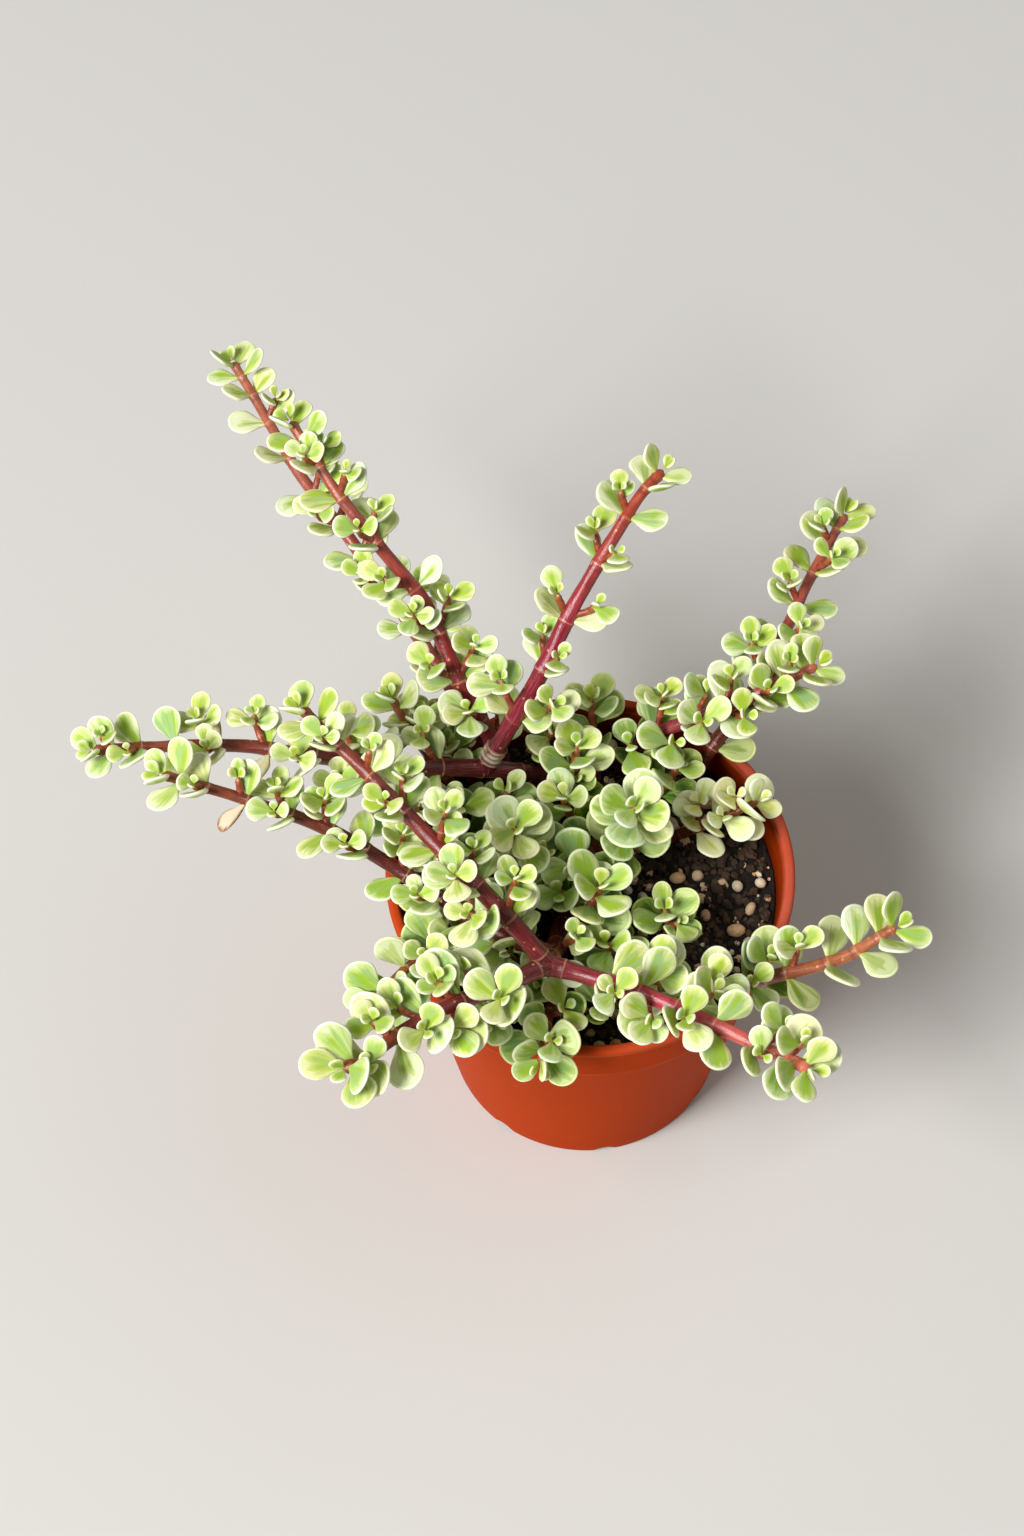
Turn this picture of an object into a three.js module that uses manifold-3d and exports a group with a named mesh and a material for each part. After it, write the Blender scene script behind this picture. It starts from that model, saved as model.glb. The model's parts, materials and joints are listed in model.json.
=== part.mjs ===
// A variegated elephant bush in a round plastic nursery pot, in millimetres, +Z up.
// The origin is the middle of the pot's underside, and most of the foliage leans out past the lip.
// Each rooted plant is one solid: its main stem, the forks and short shoots on it, and their leaves.

import * as THREE from "three";
import { mergeVertices } from "three/addons/utils/BufferGeometryUtils.js";
import Module from "manifold-3d";

const wasm = await Module();
wasm.setup();

// ---------------------------------------------------------------- driving dimensions

// The pot: a tapered body, a collar one step wider, and a rolled lip.
const POT = {
  height: 105,
  baseRadius: 42,
  bodyTopRadius: 55.2,
  bodyTop: 82.9,
  collarRadius: 56.7,
  collarBottom: 83.8,
  collarTopRadius: 57.7,
  lipRadius: 60,
  lipHeight: 3,
  lipInnerRadius: 56.8,
  edge: 0.8,
  wall: 1.5,
  floor: 1.8,
  sides: 32,
};

// Drain notches: shallow arches cut where the wall meets the floor.
const NOTCH = { count: 8, halfWidth: 4, height: 3.2, depth: 7, turn: -14.5 * (Math.PI / 180) };

// The potting mix: its uneven surface is a net of rings, with grit standing out of it.
const SOIL = { top: 93, rough: 0.7, clear: 0.35, sectors: 16, rings: 3, grit: 10 };
const ROOT_CLEAR = 0.4;
const ROOT_FOOT = 0.6;

// A leaf's sizes are shares of its own length. Its foot is sunk into the stem it grows from.
const LEAF = {
  widthLeast: 0.7,
  widthSpread: 0.2,
  thickBase: 0.75,
  thickShare: 0.08,
  curlLeast: 0.03,
  curlSpread: 0.12,
  widest: 0.6,
  baseWidth: 0.17,
  sunk: 0.7,
};

// Pairs of leaves are counted back from a tip: their size, the gap to the next, how far open, and
// how far round the stem they stand from its level side. On long stems older pairs spread flat.
const LONG_PAIRS = {
  size: [0.42, 0.84, 1, 1],
  gap: [0.14, 0.3, 0.55, 0.8, 1],
  open: [34, 60, 68, 72, 76],
  turn: [45, 42, 36, 30],
};
const SHORT_PAIRS = {
  size: [0.36, 0.74, 0.94, 1],
  gap: [0.22, 0.42, 0.66, 0.9, 1],
  open: [34, 60, 70, 76, 80],
  turn: [45],
};
const SIDE_PAIRS = {
  size: [0.36, 0.84, 1],
  gap: [0.26, 0.5, 0.85, 1.15],
  open: [36, 66, 78, 80],
  turn: [45],
};
const PAIR_SPREAD = { turn: 20, open: 14, size: [0.88, 1.08], gap: [0.85, 1.15] };
const INTERNODE = 13.5;
const SHORT_INTERNODE = 6.8;

// A stem that ends in a fork has no young pairs: it starts with this one.
const OLDER_PAIR = 4;

// Side shoots: how far they reach near a tip and on old wood, which way they leave the axil of
// their leaf, a little above it, and how they turn up.
const SIDE = {
  young: 3.5,
  old: 9.5,
  youngest: 2,
  oldest: 7,
  youngestShort: 3,
  youngestChance: 0.5,
  reachSpread: [0.8, 1.2],
  forward: 0.6,
  out: 1,
  lift: 0.3,
  upright: 1.1,
  above: 1.5,
  thick: 1.1,
  thin: 0.8,
  bare: 0.6,
  leaf: [0.76, 0.96],
  internode: [3.6, 4.8],
  leastLeaves: 3,
};

// A leaf lies flatter than its stem would hold it, lifts a little, and turns its face to the light.
const FLAT = 0.62;
const LIFT = 0.22;
const LIGHT = [0, -0.36, 0.93];
const FACE_LIGHT = 1.6;

// Stems thin late: this is the power of the run along one.
const TAPER = 1.6;

// The upper side of a long stem stays clear of leaves to this height, on some of the stretches of
// this length, but not on its leafy tip.
const CLEAR = { above: 4.5, stretch: 12, tip: 10, share: 0.6 };

// How a leaf that has no room is tried again: turned round the stem, opened, and smaller.
const TRIALS = [
  { turn: 0, open: 0, size: 1 },
  { turn: 18, open: 0, size: 1 },
  { turn: -18, open: 0, size: 1 },
  { turn: 0, open: -16, size: 1 },
  { turn: 0, open: 13, size: 0.95 },
  { turn: 30, open: -6, size: 0.88 },
  { turn: -30, open: -6, size: 0.88 },
  { turn: 0, open: -26, size: 0.75 },
  { turn: 24, open: -18, size: 0.7 },
  { turn: -24, open: -18, size: 0.7 },
];

// Room kept round a leaf: beyond its edge, off its two faces, and off the faces of the next pair.
const EDGE_ROOM = 0.3;
const FACE_ROOM = 0.25;
const SISTER_ROOM = -0.45;
const SHOOT_ROOM = 0.4;
const SOIL_ROOM = 1.6;

// Room kept inside and outside the pot's lip, and between a side shoot and the other stems. Leaves
// whose middles are further apart than this share of their two lengths cannot meet.
const LIP_ROOM = { inside: 4, outside: 2.5 };
const STEM_ROOM = 1.2;
const NEAR = 0.62;

// Steps along a stem: between the rings of its bare parts, and between its path's samples.
const RING_STEP = 12;
const SAMPLE_STEP = 1.5;

// A whorl of the solids: one or two neighbouring pairs of leaves at one level of the stem.
const WHORL = {
  ring: 1.15,
  valley: 1.5,
  half: 0.8,
  cap: 0.9,
  turn: 45,
  outline: [[0.5, 0.93], [0.92, 0.7], [0.92, -0.7], [0.5, -0.93]],
};

// Side shoots are built where their leaves are at least this long.
const SOLID_SHOOT = 9.2;

// The most whorls of a short stem, and what is tried where these have no room.
const SHORT_WHORLS = [4, 3, 2, 1];

// Every rooted plant. The first route of each starts in the soil, and its second point is where
// the stem leaves the soil. The other routes fork from it. Radii are at the route's two ends, and
// clear is the share of the stem's stretches whose upper side stays bare.
const PLANTS = {
  stem_far_left: [
    {
      route: [
        [-4, 44, 75], [-5, 34, 95], [-15, 30, 108], [-31, 26, 119], [-55, 22, 127],
        [-78, 22, 132], [-101, 24, 135], [-124, 22, 138], [-143, 19, 141],
      ],
      radii: [3, 1.4], bare: 42, internode: 13, leaf: 11, shoots: 0.9,
    },
    {
      route: [
        [-31, 26, 119], [-24, 30, 135], [-15, 38, 151], [-6, 51, 165], [4, 64, 177],
        [13, 76, 185], [20, 83, 189],
      ],
      radii: [2.8, 1.5], bare: 15, internode: 17, leaf: 11, shoots: 0.95, clear: 1,
    },
  ],
  stem_back_left: [
    {
      route: [
        [-22, 41, 75], [-24, 36, 95], [-29, 36, 119], [-37, 43, 135], [-48, 62, 151],
        [-61, 74, 163], [-75, 89, 173], [-87, 106, 181],
      ],
      radii: [2.7, 1.4], bare: 12, internode: 15, leaf: 11, shoots: 0.9, clear: 0.8,
    },
    {
      route: [
        [-26, 35, 107], [-40, 53, 117], [-55, 72, 131], [-71, 92, 141], [-86, 111, 147],
        [-98, 132, 151], [-107, 147, 155],
      ],
      radii: [2.4, 1.3], bare: 9, internode: 13, leaf: 10.6, shoots: 0.8,
    },
  ],
  stem_front: [
    {
      route: [[-9, 1, 75], [-8, -11, 95], [-10, -29, 113], [-13, -44, 129]],
      radii: [3.1, 2.8], bare: 14, internode: 13, leaf: 10.3, shoots: 0.9, ends: false,
    },
    {
      route: [
        [-13, -44, 129], [-23, -36, 139], [-36, -25, 147], [-49, -13, 153], [-63, 0, 159],
        [-74, 10, 163], [-82, 17, 167],
      ],
      radii: [2.8, 1.5], bare: 8, internode: 14, leaf: 11, shoots: 0.95,
    },
    {
      route: [
        [-12, -37, 122], [-28, -29, 121], [-43, -21, 125], [-59, -12, 131], [-75, -5, 137],
        [-92, 0, 141], [-109, 4, 145], [-122, 6, 149],
      ],
      radii: [2.5, 1.4], bare: 8, internode: 13, leaf: 11.3, shoots: 0.95,
    },
    {
      route: [
        [-13, -44, 129], [-26, -54, 135], [-40, -62, 139], [-54, -72, 141], [-63, -80, 142],
        [-68, -85, 147],
      ],
      radii: [2.7, 1.7], bare: 8, internode: 11.5, leaf: 14.6, shoots: 0.95,
    },
    {
      route: [
        [-13, -44, 129], [-1, -48, 129], [15, -56, 133], [34, -66, 134], [50, -75, 135],
        [58, -82, 140],
      ],
      radii: [2.7, 1.7], bare: 8, internode: 11, leaf: 13, shoots: 0.95,
    },
  ],
  stem_right: [
    {
      route: [
        [34, -23, 75], [32, -31, 95], [38, -40, 108], [53, -40, 115], [70, -37, 119],
        [86, -30, 125],
      ],
      radii: [2.4, 1.5], bare: 16, internode: 12, leaf: 12.9, shoots: 0.75,
    },
  ],
  stem_back_right_low: [
    {
      route: [
        [9, 44, 75], [10, 42, 95], [17, 41, 111], [29, 41, 121], [44, 43, 129],
        [55, 45, 135], [66, 49, 139],
      ],
      radii: [2.4, 1.3], bare: 6, internode: 11.5, leaf: 12, shoots: 0.9,
    },
  ],
  stem_back_right: [
    {
      route: [
        [29, 36, 75], [30, 34, 95], [36, 39, 108], [49, 54, 118], [57, 68, 123],
        [67, 87, 131], [77, 104, 137],
      ],
      radii: [2.4, 1.3], bare: 5, internode: 12.5, leaf: 12, shoots: 0.8,
    },
  ],
  shoot_cream: [
    {
      route: [[24, 23, 75], [24, 16, 95], [32, 13, 107], [41, 14, 113], [49, 16, 117]],
      radii: [1.7, 1], bare: 10, leaf: 12, shoots: 0.7, short: true,
    },
  ],
  shoot_centre_right: [
    {
      route: [[10, 13, 75], [10, 9, 95], [11, 5, 119], [12, 0, 141]],
      radii: [1.9, 1.1], bare: 7, leaf: 13.2, shoots: 0.25, short: true,
    },
  ],
  shoot_centre_left: [
    {
      route: [[-21, 13, 75], [-21, 6, 95], [-21, 0, 119], [-22, -6, 139]],
      radii: [1.9, 1.1], bare: 7, leaf: 12.8, shoots: 0.3, short: true,
    },
  ],
  shoot_centre_front: [
    {
      route: [[0, -11, 75], [0, -17, 95], [-1, -20, 115], [2, -18, 127]],
      radii: [1.8, 1.1], bare: 6, leaf: 13.4, shoots: 0.25, short: true,
    },
  ],
  shoot_centre: [
    {
      route: [[4, 23, 75], [3, 16, 95], [0, 4, 109], [-5, -8, 119]],
      radii: [1.7, 1], bare: 6, leaf: 13.2, shoots: 0.3, short: true,
    },
  ],
  shoot_back: [
    {
      route: [[-8, 35, 75], [-8, 25, 95], [-5, 27, 111], [-4, 31, 123]],
      radii: [1.6, 1], bare: 6, leaf: 12, shoots: 0.3, short: true,
    },
  ],
  shoot_back_right: [
    {
      route: [[2, 38, 75], [2, 37, 95], [1, 43, 108], [1, 50, 118]],
      radii: [1.6, 1], bare: 6, leaf: 12.6, shoots: 0.3, short: true,
    },
  ],
  shoot_right: [
    {
      route: [[25, -14, 75], [23, -21, 95], [22, -21, 107], [21, -19, 115]],
      radii: [1.6, 1], bare: 5, leaf: 12.6, shoots: 0.3, short: true,
    },
  ],
  shoot_front_right: [
    {
      route: [[18, -37, 75], [17, -42, 95], [18, -45, 113], [17, -45, 129]],
      radii: [1.7, 1], bare: 7, leaf: 13.3, shoots: 0.3, short: true,
    },
  ],
  shoot_front_far_right: [
    {
      route: [[29, -34, 75], [28, -41, 95], [32, -46, 113], [33, -49, 129]],
      radii: [1.6, 1], bare: 7, leaf: 12.6, shoots: 0.3, short: true,
    },
  ],
  shoot_over_lip: [
    {
      route: [[-9, -31, 75], [-9, -38, 95], [-12, -47, 107], [-14, -61, 113], [-15, -67, 112]],
      radii: [1.6, 1], bare: 8, leaf: 12.4, shoots: 0.5, short: true,
    },
  ],
  shoot_front_left: [
    {
      route: [[-33, -14, 75], [-34, -21, 95], [-41, -25, 108], [-51, -36, 115], [-62, -50, 119]],
      radii: [1.8, 1.1], bare: 10, leaf: 12.6, shoots: 0.5, short: true,
    },
  ],
  shoot_left: [
    {
      route: [[-38, 4, 75], [-38, -3, 95], [-42, -11, 107], [-47, -20, 113]],
      radii: [1.6, 1], bare: 6, leaf: 12, shoots: 0.4, short: true,
    },
  ],
  shoot_middle: [
    {
      route: [[-2, -1, 75], [-2, -5, 95], [-6, -11, 109], [-9, -15, 118]],
      radii: [1.6, 1], bare: 5, leaf: 12.4, shoots: 0.2, short: true,
    },
  ],
  shoot_middle_left: [
    {
      route: [[-23, -7, 75], [-24, -15, 95], [-25, -21, 113], [-26, -28, 129]],
      radii: [1.7, 1], bare: 6, leaf: 12.4, shoots: 0.3, short: true,
    },
  ],
  shoot_middle_front: [
    {
      route: [[-20, -19, 75], [-21, -26, 95], [-23, -32, 109], [-25, -36, 121]],
      radii: [1.6, 1], bare: 6, leaf: 12.2, shoots: 0.3, short: true,
    },
  ],
  shoot_middle_right: [
    {
      route: [[9, -19, 75], [8, -25, 95], [6, -30, 109], [4, -31, 117]],
      radii: [1.6, 1], bare: 5, leaf: 12, shoots: 0.2, short: true,
    },
  ],
  shoot_behind_middle: [
    {
      route: [[-13, 11, 75], [-14, 5, 95], [-13, 0, 109], [-13, -3, 121]],
      radii: [1.6, 1], bare: 5, leaf: 12, shoots: 0.2, short: true,
    },
  ],
  shoot_far_left: [
    {
      route: [[-35, 12, 75], [-35, 5, 95], [-39, 0, 109], [-43, -4, 121]],
      radii: [1.6, 1], bare: 6, leaf: 12, shoots: 0.3, short: true,
    },
  ],
  shoot_back_left: [
    {
      route: [[-33, 33, 75], [-34, 25, 95], [-43, 29, 111], [-52, 36, 121], [-58, 44, 129]],
      radii: [1.8, 1.1], bare: 8, leaf: 11.4, shoots: 0.6, short: true,
    },
  ],
  shoot_low_left: [
    {
      route: [[-41, 22, 75], [-43, 15, 95], [-52, 13, 109], [-60, 14, 117]],
      radii: [1.7, 1.1], bare: 8, leaf: 11.6, shoots: 0.5, short: true,
    },
  ],
  shoot_behind_right: [
    {
      route: [[18, 31, 75], [18, 27, 95], [22, 27, 107], [26, 29, 115]],
      radii: [1.6, 1], bare: 6, leaf: 12, shoots: 0.4, short: true,
    },
  ],
  shoot_mid_back: [
    {
      route: [[-3, 22, 75], [-5, 16, 95], [-6, 14, 111], [-8, 14, 123]],
      radii: [1.6, 1], bare: 6, leaf: 12, shoots: 0.3, short: true,
    },
  ],
  shoot_front: [
    {
      route: [[3, -38, 75], [2, -44, 95], [2, -46, 104], [3, -47, 112]],
      radii: [1.6, 1], bare: 6, leaf: 12, shoots: 0.3, short: true,
    },
  ],
  shoot_gap_left: [
    {
      route: [[-34, 19, 75], [-35, 12, 95], [-37, 13, 109], [-39, 15, 119]],
      radii: [1.6, 1], bare: 5, leaf: 12.4, shoots: 0.3, short: true,
    },
  ],
  shoot_gap_back: [
    {
      route: [[-33, 38, 75], [-34, 34, 95], [-38, 35, 107], [-42, 36, 117]],
      radii: [1.6, 1], bare: 5, leaf: 12, shoots: 0.3, short: true,
    },
  ],
  shoot_back_middle: [
    {
      route: [[-13, 46, 75], [-14, 42, 95], [-13, 41, 107], [-11, 40, 117]],
      radii: [1.6, 1], bare: 6, leaf: 12.6, shoots: 0.3, short: true,
    },
  ],
  shoot_centre_back: [
    {
      route: [[-23, 22, 75], [-24, 15, 95], [-24, 16, 109], [-25, 18, 119]],
      radii: [1.6, 1], bare: 5, leaf: 12, shoots: 0.3, short: true,
    },
  ],
  shoot_lip_left: [
    {
      route: [[-24, -30, 75], [-25, -37, 95], [-27, -49, 111], [-30, -56, 117]],
      radii: [1.6, 1], bare: 8, leaf: 12, shoots: 0.4, short: true,
    },
  ],
};

const COLOURS = { pot: 0xb4512b, soil: 0x2a211b, foliage: 0x9db866, cream: 0xe3e8b4 };

// ---------------------------------------------------------------- small helpers

const UP = new THREE.Vector3(0, 0, 1);
const radians = THREE.MathUtils.degToRad;
const mix = THREE.MathUtils.lerp;
const vector = (point) => new THREE.Vector3(...point);
const listed = (list, index) => list[Math.min(index, list.length - 1)];

// A number from 0 to 1 that depends only on its keys, so each leaf keeps its own draw.
function draw(...keys) {
  let hash = 2166136261;
  for (const key of keys) {
    hash = Math.imul(hash ^ key, 16777619);
    hash ^= hash >>> 13;
  }
  hash = Math.imul(hash ^ (hash >>> 15), 2246822507);
  hash ^= hash >>> 13;
  return (hash >>> 0) / 4294967296;
}

// ---------------------------------------------------------------- solids

// A closed solid from a list of points and a list of triangles, turned to face out.
function solidFrom(points, triangles) {
  const vertProperties = new Float32Array(points.flatMap((point) => point.toArray()));
  const triVerts = new Uint32Array(triangles.flat());
  const made = new wasm.Manifold(new wasm.Mesh({ numProp: 3, vertProperties, triVerts }));
  if (made.volume() > 0) return made;
  return solidFrom(points, triangles.map(([a, b, c]) => [a, c, b]));
}

// The same from a three.js geometry, without the triangles that close up on a lathe's axis.
function solidOf(geometry) {
  geometry.deleteAttribute("normal");
  geometry.deleteAttribute("uv");
  const merged = mergeVertices(geometry);
  const place = merged.getAttribute("position");
  const points = [];
  for (let i = 0; i < place.count; i++) points.push(new THREE.Vector3().fromBufferAttribute(place, i));
  const triangles = [];
  for (let i = 0; i < merged.index.count; i += 3) {
    const [a, b, c] = merged.index.array.slice(i, i + 3);
    if (a !== b && b !== c && c !== a) triangles.push([a, b, c]);
  }
  return solidFrom(points, triangles);
}

function geometryOf(solid) {
  const mesh = solid.getMesh();
  return new THREE.BufferGeometry()
    .setAttribute("position", new THREE.BufferAttribute(mesh.vertProperties, 3))
    .setIndex(new THREE.BufferAttribute(mesh.triVerts, 1));
}

function meshOf(name, solid, colour, roughness) {
  const material = new THREE.MeshStandardMaterial({ color: colour, roughness, metalness: 0 });
  const mesh = new THREE.Mesh(geometryOf(solid), material);
  mesh.name = name;
  return mesh;
}

// A square bar between two rings of { centre, side, forward, radius }.
function squareBar([low, high]) {
  const [below, above] = [low, high].map((ring) => ringChains({ ...ring, turn: radians(WHORL.turn) }).flat());
  const triangles = [[0, 2, 1], [0, 3, 2], [4, 5, 6], [4, 6, 7]];
  for (let i = 0; i < 4; i++) {
    const next = (i + 1) % 4;
    triangles.push([i, next, next + 4], [i, next + 4, i + 4]);
  }
  return solidFrom([...below, ...above], triangles);
}

// ---------------------------------------------------------------- stems

// A stem's side direction turns as little as it can along the stem, and settles level.
function sideAlong(previous, forward) {
  const level = forward.clone().cross(UP);
  if (level.dot(previous) < 0) level.negate();
  const side = previous.clone().addScaledVector(level, 0.5);
  return side.addScaledVector(forward, -side.dot(forward)).normalize();
}

// A path: samples along a smooth curve through the route, each with its distance and directions.
function pathThrough(points, skip, side) {
  const curve = new THREE.CatmullRomCurve3(points, false, "catmullrom", 0.5);
  const spans = points.length - 1;
  const steps = Math.ceil(curve.getLength() / SAMPLE_STEP / spans);
  const places = [];
  for (let i = skip * steps; i <= spans * steps; i++) places.push(curve.getPoint(i / (spans * steps)));
  const samples = [];
  let distance = 0;
  for (let i = 0; i < places.length; i++) {
    const before = places[Math.max(i - 1, 0)];
    const after = places[Math.min(i + 1, places.length - 1)];
    const forward = after.clone().sub(before).normalize();
    if (i) distance += places[i].distanceTo(places[i - 1]);
    side = sideAlong(side, forward);
    samples.push({ centre: places[i], forward, side, distance });
  }
  return { samples, length: distance };
}

// The place at a distance along a path, and the stem's directions there.
function placeOn(path, distance) {
  const after = Math.max(path.samples.findIndex((sample) => sample.distance >= distance), 1);
  const [a, b] = [path.samples[after - 1], path.samples[after]];
  const share = (distance - a.distance) / (b.distance - a.distance);
  return {
    centre: a.centre.clone().lerp(b.centre, share),
    forward: a.forward.clone().lerp(b.forward, share).normalize(),
    side: a.side.clone().lerp(b.side, share).normalize(),
  };
}

const stemRadius = (stem, distance) =>
  mix(stem.radii[0], stem.radii[1], Math.min(distance / stem.path.length, 1) ** TAPER);

// A main stem. The buried foot of a rooted one runs straight from its first point to its second.
function mainStem(plant, index, form) {
  const points = form.route.map(vector);
  const rooted = index === 0;
  const turn = 2 * Math.PI * draw(plant, index, 1);
  const side = new THREE.Vector3(Math.cos(turn), Math.sin(turn), 0);
  const path = pathThrough(points, rooted ? 1 : 0, side);
  const habit = form.short
    ? { table: SHORT_PAIRS, internode: SHORT_INTERNODE }
    : { table: LONG_PAIRS, internode: INTERNODE };
  const usual = { ends: true, clear: CLEAR.share, parent: null };
  const stem = { ...usual, ...habit, ...form, plant, path, keys: [plant, index] };
  if (rooted) {
    const forward = points[1].clone().sub(points[0]).normalize();
    const footSide = sideAlong(path.samples[0].side, forward);
    stem.foot = { from: points[0], to: points[1], forward, side: footSide };
  }
  return stem;
}

// A short shoot in a leaf's axil, which curves up towards the light.
function sideShoot(parent, pair, second) {
  const keys = [...parent.keys, pair.index, second, 7];
  const age = (pair.index - SIDE.youngest) / (SIDE.oldest - SIDE.youngest);
  const reach = mix(SIDE.young, SIDE.old, Math.min(age, 1)) * mix(...SIDE.reachSpread, draw(...keys, 1));
  const { centre, forward, side } = placeOn(parent.path, pair.distance);
  const out = side.clone().applyAxisAngle(forward, pair.turn + second * Math.PI);
  const thick = stemRadius(parent, pair.distance);
  const start = forward
    .clone()
    .multiplyScalar(SIDE.forward)
    .addScaledVector(out, SIDE.out)
    .addScaledVector(UP, SIDE.lift)
    .normalize();
  const upright = start.clone().addScaledVector(UP, SIDE.upright).normalize();
  centre.addScaledVector(forward, SIDE.above);
  const middle = centre.clone().addScaledVector(start, thick + reach / 2);
  const end = middle.clone().addScaledVector(upright, reach / 2);
  return {
    plant: parent.plant,
    keys,
    parent,
    path: pathThrough([centre, middle, end], 0, out.clone().cross(forward)),
    radii: [SIDE.thick, SIDE.thin],
    bare: thick + SIDE.bare,
    leaf: parent.leaf * mix(...SIDE.leaf, draw(...keys, 2)),
    internode: mix(...SIDE.internode, draw(...keys, 3)),
    table: SIDE_PAIRS,
    ends: true,
  };
}

// Pairs of leaves from a stem's tip back to its bare part, each turned from the one before it.
function pairsOn(stem) {
  const pairs = [];
  const { keys, path, internode, ends, bare, table } = stem;
  let back = ends ? 0 : internode / 2;
  for (let index = ends ? 0 : OLDER_PAIR; path.length - back > bare; index++) {
    const wobble = PAIR_SPREAD.turn * (draw(...keys, index, 2) - 0.5);
    const opened = PAIR_SPREAD.open * (draw(...keys, index, 3) - 0.5);
    const grown = mix(...PAIR_SPREAD.size, draw(...keys, index, 4));
    pairs.push({
      index,
      distance: path.length - back,
      turn: radians(listed(table.turn, index) * (index % 2 ? 1 : -1) + wobble),
      open: listed(table.open, index) + opened,
      size: stem.leaf * listed(table.size, index) * grown,
    });
    back += internode * listed(table.gap, index) * mix(...PAIR_SPREAD.gap, draw(...keys, index, 5));
  }
  return pairs;
}

// ---------------------------------------------------------------- leaves

// Half the blade's width at a share of its length: a narrow foot, widest past the middle, round.
function halfWidth(leaf, share) {
  const within = THREE.MathUtils.clamp(share, 0, 1);
  const past = (within - LEAF.widest) / (1 - LEAF.widest);
  const round =
    past > 0
      ? Math.sqrt(1 - past * past)
      : mix(LEAF.baseWidth, 1, Math.sin(((Math.PI / 2) * within) / LEAF.widest) ** 1.6);
  return (leaf.width / 2) * round;
}

const rise = (leaf, share) => leaf.curl * leaf.length * share * share;

// A point of the blade: share of its length, distance across, distance above its middle surface.
function onLeaf(leaf, share, across, above) {
  return leaf.foot
    .clone()
    .addScaledVector(leaf.along, leaf.length * share)
    .addScaledVector(leaf.across, across)
    .addScaledVector(leaf.face, rise(leaf, share) + above);
}

// The leaf on one side of a pair, which turns its upper face to the light.
function leafAt(stem, pair, second, trial) {
  const keys = [...stem.keys, pair.index, second];
  const { centre, forward, side } = placeOn(stem.path, pair.distance);
  const turn = pair.turn + second * Math.PI + radians(trial.turn);
  const open = radians(pair.open + trial.open);
  const out = side.clone().applyAxisAngle(forward, turn);
  const along = forward.clone().multiplyScalar(Math.cos(open)).addScaledVector(out, Math.sin(open));
  along.z *= FLAT;
  along.addScaledVector(UP, LIFT).normalize();
  const face = forward.clone().multiplyScalar(Math.sin(open)).addScaledVector(out, -Math.cos(open));
  face.addScaledVector(vector(LIGHT), FACE_LIGHT);
  face.addScaledVector(along, -face.dot(along)).normalize();
  const size = pair.size * trial.size;
  const thick = stemRadius(stem, pair.distance);
  const leaf = {
    stem,
    pair: pair.index,
    foot: centre.clone().addScaledVector(along, LEAF.sunk * thick),
    along,
    face,
    across: face.clone().cross(along),
    length: size,
    width: size * (LEAF.widthLeast + LEAF.widthSpread * draw(...keys, 5)),
    thick: LEAF.thickBase + LEAF.thickShare * size,
    curl: LEAF.curlLeast + LEAF.curlSpread * draw(...keys, 6),
  };
  leaf.middle = onLeaf(leaf, 0.55, 0, 0);
  return leaf;
}

// Points spread over a blade, which stand for it where it might touch something.
function spotsOn(leaf) {
  return [0.3, 0.5, 0.7, 0.88, 1].flatMap((share) =>
    [-0.85, 0, 0.85].map((part) => onLeaf(leaf, share, part * halfWidth(leaf, share), 0)),
  );
}

function isInLeaf(leaf, spot, faceRoom) {
  const offset = spot.clone().sub(leaf.foot);
  const along = offset.dot(leaf.along);
  if (along < -EDGE_ROOM || along > leaf.length + EDGE_ROOM) return false;
  const share = along / leaf.length;
  if (Math.abs(offset.dot(leaf.across)) > halfWidth(leaf, share) + EDGE_ROOM) return false;
  return Math.abs(offset.dot(leaf.face) - rise(leaf, share)) < leaf.thick / 2 + faceRoom;
}

const leaves = [];
const knots = [];

function leavesMeet(leaf, other) {
  if (leaf.middle.distanceTo(other.middle) > NEAR * (leaf.length + other.length)) return false;
  const apart = leaf.stem === other.stem ? Math.abs(leaf.pair - other.pair) : 2;
  if (apart === 0) return false;
  const room = apart === 1 ? SISTER_ROOM : FACE_ROOM;
  return (
    leaf.spots.some((spot) => isInLeaf(other, spot, room + leaf.thick / 2)) ||
    other.spots.some((spot) => isInLeaf(leaf, spot, room + other.thick / 2))
  );
}

// Whether a spot is clear of the soil, and of the pot's wall and lip.
function isClearOfPot(spot) {
  const radius = Math.hypot(spot.x, spot.y);
  if (radius < POT.lipInnerRadius - LIP_ROOM.inside) return spot.z > SOIL.top + SOIL_ROOM;
  return radius > POT.lipRadius + LIP_ROOM.outside || spot.z > POT.height + SOIL_ROOM;
}

// Knots are beads along every stem and shoot, which leaves and later shoots keep clear of. Long
// stems have some more above them.
function addKnots(stem) {
  const long = !stem.parent && !stem.short;
  for (const { centre, forward, distance } of stem.path.samples) {
    const radius = stemRadius(stem, distance);
    knots.push({ centre, radius, stem });
    const kept = draw(...stem.keys, Math.floor(distance / CLEAR.stretch), 61) < stem.clear;
    if (!long || !kept || distance >= stem.path.length - CLEAR.tip) continue;
    const above = UP.clone().addScaledVector(forward, -forward.z).setLength(CLEAR.above);
    knots.push({ centre: centre.clone().add(above), radius, stem });
  }
}

function hitsStem(spot, room, own) {
  return knots.some(
    ({ centre, radius, stem }) => stem !== own && centre.distanceTo(spot) < radius + room,
  );
}

function leafFits(leaf) {
  leaf.spots = spotsOn(leaf);
  return (
    leaf.spots.every(isClearOfPot) &&
    !leaves.some((other) => leavesMeet(leaf, other)) &&
    !leaf.spots.some((spot) => hitsStem(spot, leaf.thick / 2 + FACE_ROOM, leaf.stem))
  );
}

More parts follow.
